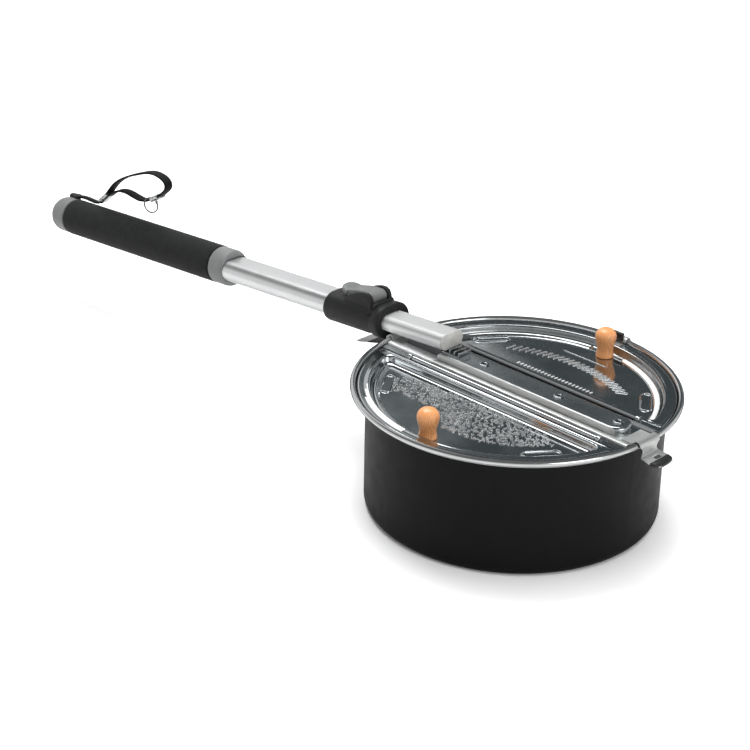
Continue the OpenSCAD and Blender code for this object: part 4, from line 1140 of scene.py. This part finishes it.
# middle line of a clip: over the bead, down outside it and out along the lip
def clipLine(leg, lip, fall, start, count):
    bx, bz = clipSet["bead"]
    r, bend = clipSet["r"], clipSet["bend"]
    line = arc(bx, bz, r, 180 - start, 0, 16)
    foot = (bx + r, bz - leg)
    line += [(foot[0], z) for z in np.linspace(bz - 0.5, foot[1] + bend + 0.5, 7)]
    line += arc(foot[0] + bend, foot[1] + bend + 0.45, bend, 180, 270 - fall, 7)
    a = math.radians(fall)
    ox, oz = line[-1]
    run = lip - bend
    slope = [(math.cos(a) * run * t, math.sin(a) * run * t) for t in np.linspace(0.06, 1, count)]
    return line + [(ox + out, oz - drop) for out, drop in slope]


def farClipPiece(s):
    line = clipLine(s["leg"], s["lip"], s["fall"], 10, 24)
    bx, bz = clipSet["bead"]
    flareFrom, flare, fade = s["flare"]
    edge = []
    for x, z in line:
        drop = (bz - z) / s["leg"]
        out = x - bx - clipSet["r"]
        pull = math.sin(math.pi * min(max(drop, 0), 1)) if out < flareFrom else max(0, flare - out * fade)
        inside = max(0, out - (s["lip"] - s["tip"] - 1.0))
        edge.append(clipSet["half"] - s["waist"] * pull - min(inside, s["taper"]))
    s0, s1, y0, y1 = s["slot"]
    foot = bx + clipSet["r"]
    first = next(i for i, p in enumerate(line) if p[0] > foot + s0)
    last = next(i for i, p in enumerate(line) if p[0] > foot + s1)
    thick = clipSet["thick"]

    def part(i, j, left, right):
        return stripShape(line[i:j + 1], left[i:j + 1], right[i:j + 1], thick)

    negative, low, high = [-e for e in edge], [y0] * len(line), [y1] * len(line)
    shapes = [part(0, first, negative, edge), part(first, last, negative, low),
              part(first, last, high, edge), part(last, len(line) - 1, negative, edge)]
    return addMesh("farClip", *joinShapes(shapes), finish["springSteelAndPaintedLight"])


def farTipPiece(s):
    line = clipLine(s["leg"], s["lip"], s["fall"], 10, 24)
    end, before = Vector(line[-1]), Vector(line[-2])
    d = (end - before).normalized()
    up = Vector((-d.y, d.x))
    dip = s["dip"]
    rings = []
    for lift, inset in dip["levels"]:
        half, back = clipSet["half"] - dip["inset"] - inset, inset - s["tip"]
        ring = []
        for a in np.linspace(-90, 90, 15):
            c, w = math.cos(math.radians(a)), math.sin(math.radians(a))
            along = dip["nose"] - inset + (abs(c) ** dip["noseShape"] - 1) * dip["noseDepth"]
            ring.append((along, half * w))
        ring += [(back, half), (back, -half)]
        rings.append([(end.x + d.x * a + up.x * lift, w, end.y + d.y * a + up.y * lift) for a, w in ring])
    return addMesh("clipTip", *loft(rings), finish["dipVinyl"], sharp=60)


def nearClipPiece(s):
    line = clipLine(s["leg"], s["lip"], s["fall"], 0, 30)
    bx, bz = clipSet["bead"]
    half = clipSet["half"]
    root, inside = clipSet["bridgeTop"] + clipSet["thick"] / 2, bx - clipSet["r"]
    line = [(x, root) for x in np.linspace(inside - s["root"], inside - 0.4, 6)] + line
    end = line[-1][0]
    width = [min(half, half - s["corner"] + end - x) for x, z in line]
    points, faces = stripShape(line, [-w for w in width], width, clipSet["thick"])
    obj = addMesh("nearClip", [(-p[0], p[1], p[2]) for p in points], faces, finish["springSteelAndPaintedLight"])
    # the lip's inner part is painted black, as painted shade and reflection of the lock above
    paintFaces(obj, finish["panCoatAndPaintedShade"], lambda p: s["dark"][0] < p.x and p.z < s["dark"][1])
    return obj


setPiece(farClipPiece(farSet), "far_clip", "spring_steel", "far_clip")
setPiece(farTipPiece(farSet), "far_clip", "dip", "clip_tip")
setPiece(nearClipPiece(nearSet), "lid", "spring_steel", "near_clip")

latchSet = {
    "half": 9.0, "split": 118.95, "foot": 99.6, "tabTop": 107.3, "tab": 1.1, "leg": 5.4,
    "cover": {"half": 8.3, "thick": 3.5,
              "levels": ((101.7, 0.5), (102.2, 0), (107.2, 0), (108.05, 0.4), (108.4, 1.1))},
}


def acrossBack(points):
    return [(p[1], p[0], p[2]) for p in points]


def latchPiece(s):
    bx, bz = clipSet["bead"]
    level = s["foot"] + clipSet["thick"] / 2
    line = [(s["split"] + s["tab"] / 2, z) for z in np.linspace(s["tabTop"], level + 1.2, 6)]
    line += [(s["split"] + s["tab"] / 2 + 0.35, level + 0.35), (s["split"] + 1.7, level)]
    line += arc(bx, bz, clipSet["r"], 172, 0, 16)
    line += [(bx + clipSet["r"], z) for z in np.linspace(bz - 0.5, bz - s["leg"], 5)]
    width = [s["half"]] * len(line)
    points, faces = stripShape(line, [-w for w in width], width, clipSet["thick"])
    return addMesh("rearLatch", acrossBack(points), faces, finish["springSteelAndPaintedLight"])


def coverPiece(s, middle):
    rings = []
    for z, inset in s["levels"]:
        w, t = s["half"] - inset, s["thick"] / 2 - inset
        rings.append([(y, middle + x, z) for y, x in stadium(2 * w, 2 * t, 8)])
    return addMesh("latchCover", *loft(rings), finish["dipVinyl"], sharp=60)


setPiece(latchPiece(latchSet), "rear_latch", "spring_steel", "rear_latch")
tabMiddle = latchSet["split"] + latchSet["tab"] / 2
setPiece(coverPiece(latchSet["cover"], tabMiddle), "rear_latch", "dip", "latch_cover")
print("clips made")

# flip lock: sleeve, cheeks, lever and screws

lockSet = {
    "x0": -126.48, "mouth": -63.0, "w": 36.66, "h": 25.26, "tube": (29.7, 18.3), "inner": (25.8, 14.4),
    "tubeEnd": -73.4, "neck": [(-17, 0), (-12.6, -1.6), (-9.6, -1.6), (-8.6, 0.6), (-8.0, 1.6)], "lip": 1.6,
    "pinX": -81.88, "pinH": 16.23, "pinR": 1.95, "cheekY": 8.4, "cheekT": 4.0, "cheekBack": -107.88,
    "tip": -116.88, "leverW": 15.6,
    "thumb": ((0.9, 0, 2.2), (1.5, 0, 0.8), (2.6, 0, 0), (0, 2.0, 0), (0, 0.9, 0.35), (0, 0.25, 1.2),
              (0, 0, 2.6)),
    "screw": (1.6, 0.9), "screwX": -75.58, "screwY": 15.2, "screwH": 7.64,
}


def sleeveSteps(s):
    x0, x1, w, h = s["x0"], s["mouth"], s["w"], s["h"]
    tw, th = s["tube"]
    iw, ih = s["inner"]
    lip = s["lip"]
    steps = [(x0 + a, w - 2 * b, h - 2 * b) for a, b in roundEdge(1.6, 5)]
    steps += [(x0 + 5.0, w, h)]
    steps += [(x1 + a, w + b, h + b) for a, b in s["neck"]]
    steps += [(x1 - a, w + lip - 2 * b, h + lip - 2 * b) for a, b in reversed(roundEdge(2.2, 6))]
    steps += [(x1 - 0.1, iw + lip, ih + lip), (x1 - 1.0, iw, ih), (s["tubeEnd"], iw, ih),
              (s["tubeEnd"], tw, th), (x0 + 0.3, tw, th)]
    return steps


def lockPiece(s):
    shapes = [loft(ovalRings(sleeveSteps(s)), loop=True)]
    top, pin, back = s["h"] / 2, s["pinX"], s["cheekBack"]
    front = pin + 6.2
    outline = [(back, -2), (back, top - 3), (back + 2, top + 1.2), (back + 8, top + 4.6),
               (pin - 11, top + 7.6), (pin - 4, top + 9.4), (pin + 1, top + 9.4), (pin + 4.6, top + 7.4),
               (front, top + 3.4), (front, -2)]
    for sign in (-1, 1):
        inner, outer = sign * s["cheekY"], sign * (s["cheekY"] + s["cheekT"])
        points, faces = bevelled(slab(outline, inner, outer), 1.1)
        shapes.append((onHandle(points), faces))
    saddle = [(pin + 6, top - 3.5), (pin + 6.8, top + 2.2), (pin + 9, top + 1.0), (pin + 10, top - 3.5)]
    points, faces = bevelled(slab(saddle, -11.5, 11.5), 0.8)
    shapes.append((onHandle(points), faces))
    return addMesh("lockBody", *joinShapes(shapes), finish["lockPlastic"], sharp=50)


def leverPiece(s):
    top, pin, pinH, tip = s["h"] / 2, s["pinX"], s["pinH"], s["tip"]
    half = s["leverW"] / 2
    nose = [(pin + x, pinH - 0.3 + z) for x, z in arc(0, 0, 5.2, 90, -110, 14)]
    arm = nose + [(pin - 6, top + 0.9), (tip + 7, top + 0.6), (tip + 5, top + 1.6), (tip + 5, top + 5.4),
                  (tip + 11, top + 6.0), (pin - 14, top + 7.9), (pin - 6, top + 8.6)]
    points, faces = bevelled(slab(arm, -half, half), 0.9)
    shapes = [(onHandle(points), faces)]
    rings = []
    for low, high, inset in s["thumb"]:
        wide = half + 1.5 - inset
        ring = arc(tip + half + 1.5, 0, wide, 90, 270, 21)
        ring += [(tip + 10.2, -wide), (tip + 10.2, wide)]
        level = []
        for x, y in ring:
            slope = min(max((tip + 9.5 - x) / 9.5, 0), 1)
            upper = top + 5.6 + 2.6 * slope ** 0.8
            lower = top + 0.5 + 2.2 * slope
            level.append((x, y, lower + low if low else upper - high))
        rings.append(level)
    points, faces = loft(rings)
    shapes.append((onHandle(points), faces))
    return addMesh("lockLever", *joinShapes(shapes), finish["leverPlastic"], sharp=50)


# small round screw with a recess, its head towards -Y
def screwShape(r, high):
    recess = high - 0.8
    profile = [(0, 0), (r, 0), (r, high * 0.6), (r - 0.3, high), (r * 0.55, high), (r * 0.5, recess),
               (0, recess)]
    points, faces = lathe(profile, 24)
    return [(p[0], -p[2], p[1]) for p in points], faces


def lockScrewPiece(s):
    shape = addMesh("sideScrew", *screwShape(*s["screw"]), finish["seamShade"])
    spots = onHandle([(s["screwX"], y, s["screwH"]) for y in (-s["screwY"], s["screwY"])])
    return runTree(pointBase(spots, [0.0, math.pi]), repeatTree, "lockScrews",
                   {"Piece": shape, "Finish": finish["seamShade"]})


def leverPinPiece(s):
    half = s["cheekY"] + s["cheekT"]
    profile = [(0, 0.6), (1.0, 0.6), (1.2, -0.1), (s["pinR"] - 0.1, -0.1), (s["pinR"], 0.1)]
    profile += [(r, 2 * half - z) for r, z in reversed(profile)]
    points, faces = lathe(profile, 28)
    turned = [(s["pinX"] + p[0], half - p[2], s["pinH"] + p[1]) for p in points]
    return addMesh("leverPin", onHandle(turned), faces, finish["seamShade"])


setPiece(leverPinPiece(lockSet), "handle", "fittings", "lever_pin")
setPiece(lockPiece(lockSet), "handle", "lock_plastic", "lock_body")
setPiece(leverPiece(lockSet), "lever", "lever_plastic", "lock_lever")
setPiece(lockScrewPiece(lockSet), "handle", "fittings", "lock_screws")
print("lock made")

# foam grip, collar, end cap and the plug in the tube's end

gripSet = {"x0": -480.18, "x1": -272.58, "r": 16.43, "edge": 2.4}
collarSet = {"x0": -272.58, "x1": -254.58, "r": 16.08, "edge": 4.0, "bore": (29.66, 18.26)}
capSet = {"x1": -480.18, "length": 23.2, "r": 16.08, "round": 11.5,
          "lug": {"x": (-13.0, -3.0), "y": (5.6, 10.4), "z": (10.0, 18.2), "soft": 1.0}}
plugSet = {"w": 25.0, "h": 13.6, "steps": [(-8, 2.8), (0, 2.8), (0, 0.2), (0.3, 0), (0.8, 0.1), (1.2, 0.8)]}


# round rings along the handle from (x, radius) steps, in step with the oval ones
def roundRings(steps, count=24):
    angles = list(np.linspace(-90, 90, count)) + list(np.linspace(90, 270, count))
    turns = [(math.cos(math.radians(a)), math.sin(math.radians(a))) for a in angles]
    return [onHandle([(x, r * c, r * h) for c, h in turns]) for x, r in steps]


def gripPiece(s):
    edge = roundEdge(s["edge"])
    steps = [(s["x0"] + a, s["r"] - b) for a, b in edge]
    steps += [(x, s["r"]) for x in np.linspace(s["x0"] + s["edge"], s["x1"] - s["edge"], 24)[1:-1]]
    steps += [(s["x1"] - a, s["r"] - b) for a, b in reversed(edge)]
    return addMesh("foamGrip", *loft(roundRings(steps)), finish["softFoam"])


def collarPiece(s):
    x0, x1, r = s["x0"], s["x1"], s["r"]
    bw, bh = s["bore"]
    steps = [(x0 + 0.1, r - 0.9), (x0 + 0.6, r)]
    steps += [(x1 - a, r - b) for a, b in reversed(roundEdge(s["edge"], 8)) if b < s["edge"] - 2.6]
    rings = ovalRings([(x0 + 0.1, bw, bh)]) + roundRings(steps)
    rings += ovalRings([(x1 - 0.9, bw + 1.4, bh + 7.0), (x1 - 0.3, bw + 0.6, bh + 4.0),
                        (x1 - 0.5, bw, bh + 1.2), (x1 - 2, bw, bh)])
    return addMesh("gripCollar", *loft(rings, loop=True), finish["capPlastic"], sharp=60)


def capPiece(s):
    x0, r = s["x1"] - s["length"], s["round"]
    steps = arc(x0 + r, s["r"] - r, r, 174, 90, 12)
    steps += [(s["x1"] - 0.6, s["r"]), (s["x1"] - 0.1, s["r"] - 0.9)]
    lug = s["lug"]
    (a, b), (y0, y1) = lug["x"], lug["y"]
    outline = [(a, y0), (b, y0), (b, y1), (a, y1)]
    block = bevelled(loft([[(s["x1"] + x, y, z) for x, y in outline] for z in lug["z"]]), lug["soft"])
    shapes = [loft(roundRings(steps)), (onHandle(block[0]), block[1])]
    return addMesh("endCap", *joinShapes(shapes), finish["capPlastic"], sharp=50)


grip = setPiece(gripPiece(gripSet), "handle", "foam", "grip")
setPiece(collarPiece(collarSet), "handle", "cap_plastic", "grip_collar")
setPiece(capPiece(capSet), "handle", "cap_plastic", "end_cap")
plugRings = ovalRings([(x, plugSet["w"] - 2 * b, plugSet["h"] - 2 * b) for x, b in plugSet["steps"]])
setPiece(addMesh("tubePlug", *loft(plugRings), finish["plugPlastic"]), "lid", "plug_plastic", "tube_plug")
print("grip made")

# floor, light and background

stageSet = {
    "floorColor": (0.93, 0.93, 0.93), "floorRough": 0.9, "floorReach": 8, "fade": (1.0, 2.0),
    "shadowShare": 1.2, "mirrorShare": 0.75,  # the floor to the camera, and in polished surfaces
    "key": {"place": (-0.7, 0.35, 1.7), "size": 1.2, "watts": 24, "without": "rimBead"},
    "top": {"place": (0.1, 0.1, 1.9), "size": 1.6, "watts": 20, "mirrored": False},
    "side": {"place": (1.5, -0.2, 0.9), "size": 0.9, "watts": 7},
    "world": {"soft": 0.45, "dim": 0.2, "bright": 1.0, "back": (0.35, 0.8), "high": (0.3, 0.58)},
    "backCard": {"left": 0.0, "right": 0.8, "near": (0.75, 0.38), "far": (0.75, 1.5),
                 "glow": (0.082, 0.097, 0.102)},
    "leftCard": {"left": 0.125, "right": 0.0, "near": (0.75, 0.42), "far": (0.75, 1.5),
                 "glow": (0.16, 0.178, 0.183)},
    "rimCard": {"left": 0.03, "right": 0.8, "near": (0.75, 0.0), "far": (0.75, 0.36),
                "glow": (0.05, 0.052, 0.052)},
    "floorCard": {"left": 0.12, "right": 0.5, "near": (0.17, 0.003), "far": (0.75, 0.003),
                  "glow": (0.05, 0.052, 0.052)},
}


def areaLight(name, s, target=(0, 0, 0.08)):
    data = bpy.data.lights.new(name, "AREA")
    data.size, data.energy = s["size"], s["watts"]
    lamp = intoScene(name, data)
    lamp.visible_glossy = s.get("mirrored", True)
    aim = (Vector(target) - Vector(s["place"])).to_track_quat("-Z", "Y")
    lamp.matrix_world = Matrix.Translation(s["place"]) @ aim.to_matrix().to_4x4()
    if "without" in s:
        skips = bpy.data.collections.new(name + "Skips")
        skips.objects.link(bpy.data.objects[s["without"]])
        skips.collection_objects[0].light_linking.link_state = "EXCLUDE"
        lamp.light_linking.receiver_collection = skips


# 1 for rays that come straight from the camera
def seenDirectly(tree, path):
    direct = addNode(tree, "ShaderNodeMath", operation="MAXIMUM")
    wire(tree, (path, "Is Camera Ray", direct, 0), (path, "Is Transmission Ray", direct, 1))
    return direct


def makeFloor(s):
    reach = s["floorReach"]
    mesh = bpy.data.meshes.new("floor")
    corners = [(-reach, -reach, 0), (reach, -reach, 0), (reach, reach, 0), (-reach, reach, 0)]
    mesh.from_pydata(corners, [], [(0, 1, 2, 3)])
    material, tree, surface = newMaterial("floorPaper")
    setInputs(surface, {"Base Color": (*s["floorColor"], 1), "Roughness": s["floorRough"]})
    seen = addNode(tree, "ShaderNodeBsdfDiffuse", {"Color": (s["shadowShare"],) * 3 + (1,)})
    mirrored = addNode(tree, "ShaderNodeBsdfDiffuse", {"Color": (s["mirrorShare"],) * 3 + (1,)})
    white = addNode(tree, "ShaderNodeEmission")
    place = addNode(tree, "ShaderNodeTexCoord")
    far = addNode(tree, "ShaderNodeVectorMath", operation="LENGTH")
    fade = addNode(tree, "ShaderNodeMapRange", {"From Min": s["fade"][0], "From Max": s["fade"][1]},
                   interpolation_type="SMOOTHSTEP")
    path = addNode(tree, "ShaderNodeLightPath")
    whiten, polished, pick = [addNode(tree, "ShaderNodeMixShader") for _ in range(3)]
    wire(tree, (place, "Object", far, 0), (far, "Value", fade, "Value"), (fade, "Result", whiten, 0),
         (seen, 0, whiten, 1), (white, 0, whiten, 2), (path, "Is Glossy Ray", polished, 0),
         (surface, 0, polished, 1), (mirrored, 0, polished, 2), (seenDirectly(tree, path), 0, pick, 0),
         (polished, 0, pick, 1), (whiten, 0, pick, 2),
         (pick, 0, tree.nodes["Material Output"], "Surface"))
    mesh.materials.append(material)
    intoScene("floor", mesh)


# white to the camera; polished surfaces see it bright behind the object and dim on the camera's side
def makeWorld(s):
    world = bpy.data.worlds.new("studio")
    bpy.context.scene.world = world
    world.use_nodes = True
    tree = world.node_tree
    soft = tree.nodes["Background"]
    setInputs(soft, {"Color": (1, 1, 1, 1), "Strength": s["soft"]})
    white = addNode(tree, "ShaderNodeBackground", {"Strength": 1})
    polish = addNode(tree, "ShaderNodeBackground")
    where = addNode(tree, "ShaderNodeTexCoord")
    heading = Vector(cameraSet["heading"]).normalized()
    along = addNode(tree, "ShaderNodeVectorMath", {1: heading}, operation="DOT_PRODUCT")
    split = addNode(tree, "ShaderNodeSeparateXYZ")

    def ramp(span, low, high):
        ends = {"From Min": span[0], "From Max": span[1], "To Min": low, "To Max": high}
        return addNode(tree, "ShaderNodeMapRange", ends, interpolation_type="SMOOTHSTEP")

    behind = ramp(s["back"], s["dim"], s["bright"])
    below = ramp(s["high"], s["bright"], s["dim"])
    level = addNode(tree, "ShaderNodeMath", operation="MAXIMUM")
    path = addNode(tree, "ShaderNodeLightPath")
    mirror, pick = [addNode(tree, "ShaderNodeMixShader") for _ in range(2)]
    wire(tree, (where, "Generated", along, 0), (where, "Generated", split, 0),
         (along, "Value", behind, "Value"), (split, "Z", below, "Value"),
         (behind, "Result", level, 0), (below, "Result", level, 1),
         (level, 0, polish, "Strength"), (path, "Is Glossy Ray", mirror, 0), (soft, 0, mirror, 1),
         (polish, 0, mirror, 2), (seenDirectly(tree, path), 0, pick, 0), (mirror, 0, pick, 1),
         (white, 0, pick, 2), (pick, 0, tree.nodes["World Output"], "Surface"))


# dark studio card seen only in polished surfaces; left and right as the camera sees them
def makeCard(name, s):
    heading = Vector(cameraSet["heading"]).normalized()
    side = heading.cross(Vector((0, 0, 1)))
    left, right, near, far = -s["left"], s["right"], s["near"], s["far"]
    corners = [heading * away + side * x + Vector((0, 0, z))
               for x, (away, z) in ((left, near), (right, near), (right, far), (left, far))]
    mesh = bpy.data.meshes.new(name)
    mesh.from_pydata(corners, [], [(0, 1, 2, 3)])
    material, tree, surface = newMaterial(name + "Shade")
    setInputs(surface, {"Base Color": (0, 0, 0, 1), "Specular IOR Level": 0,
                        "Emission Color": (*s["glow"], 1), "Emission Strength": 1})
    mesh.materials.append(material)
    card = intoScene(name, mesh)
    card.visible_camera = card.visible_diffuse = card.visible_shadow = False


makeFloor(stageSet)
makeWorld(stageSet["world"])
for cardName in ("backCard", "leftCard", "rimCard", "floorCard"):
    makeCard(cardName, stageSet[cardName])
for lampName in ("key", "top", "side"):
    areaLight(lampName + "Light", stageSet[lampName])
bpy.context.scene.view_settings.view_transform = "Standard"
print("stage made")
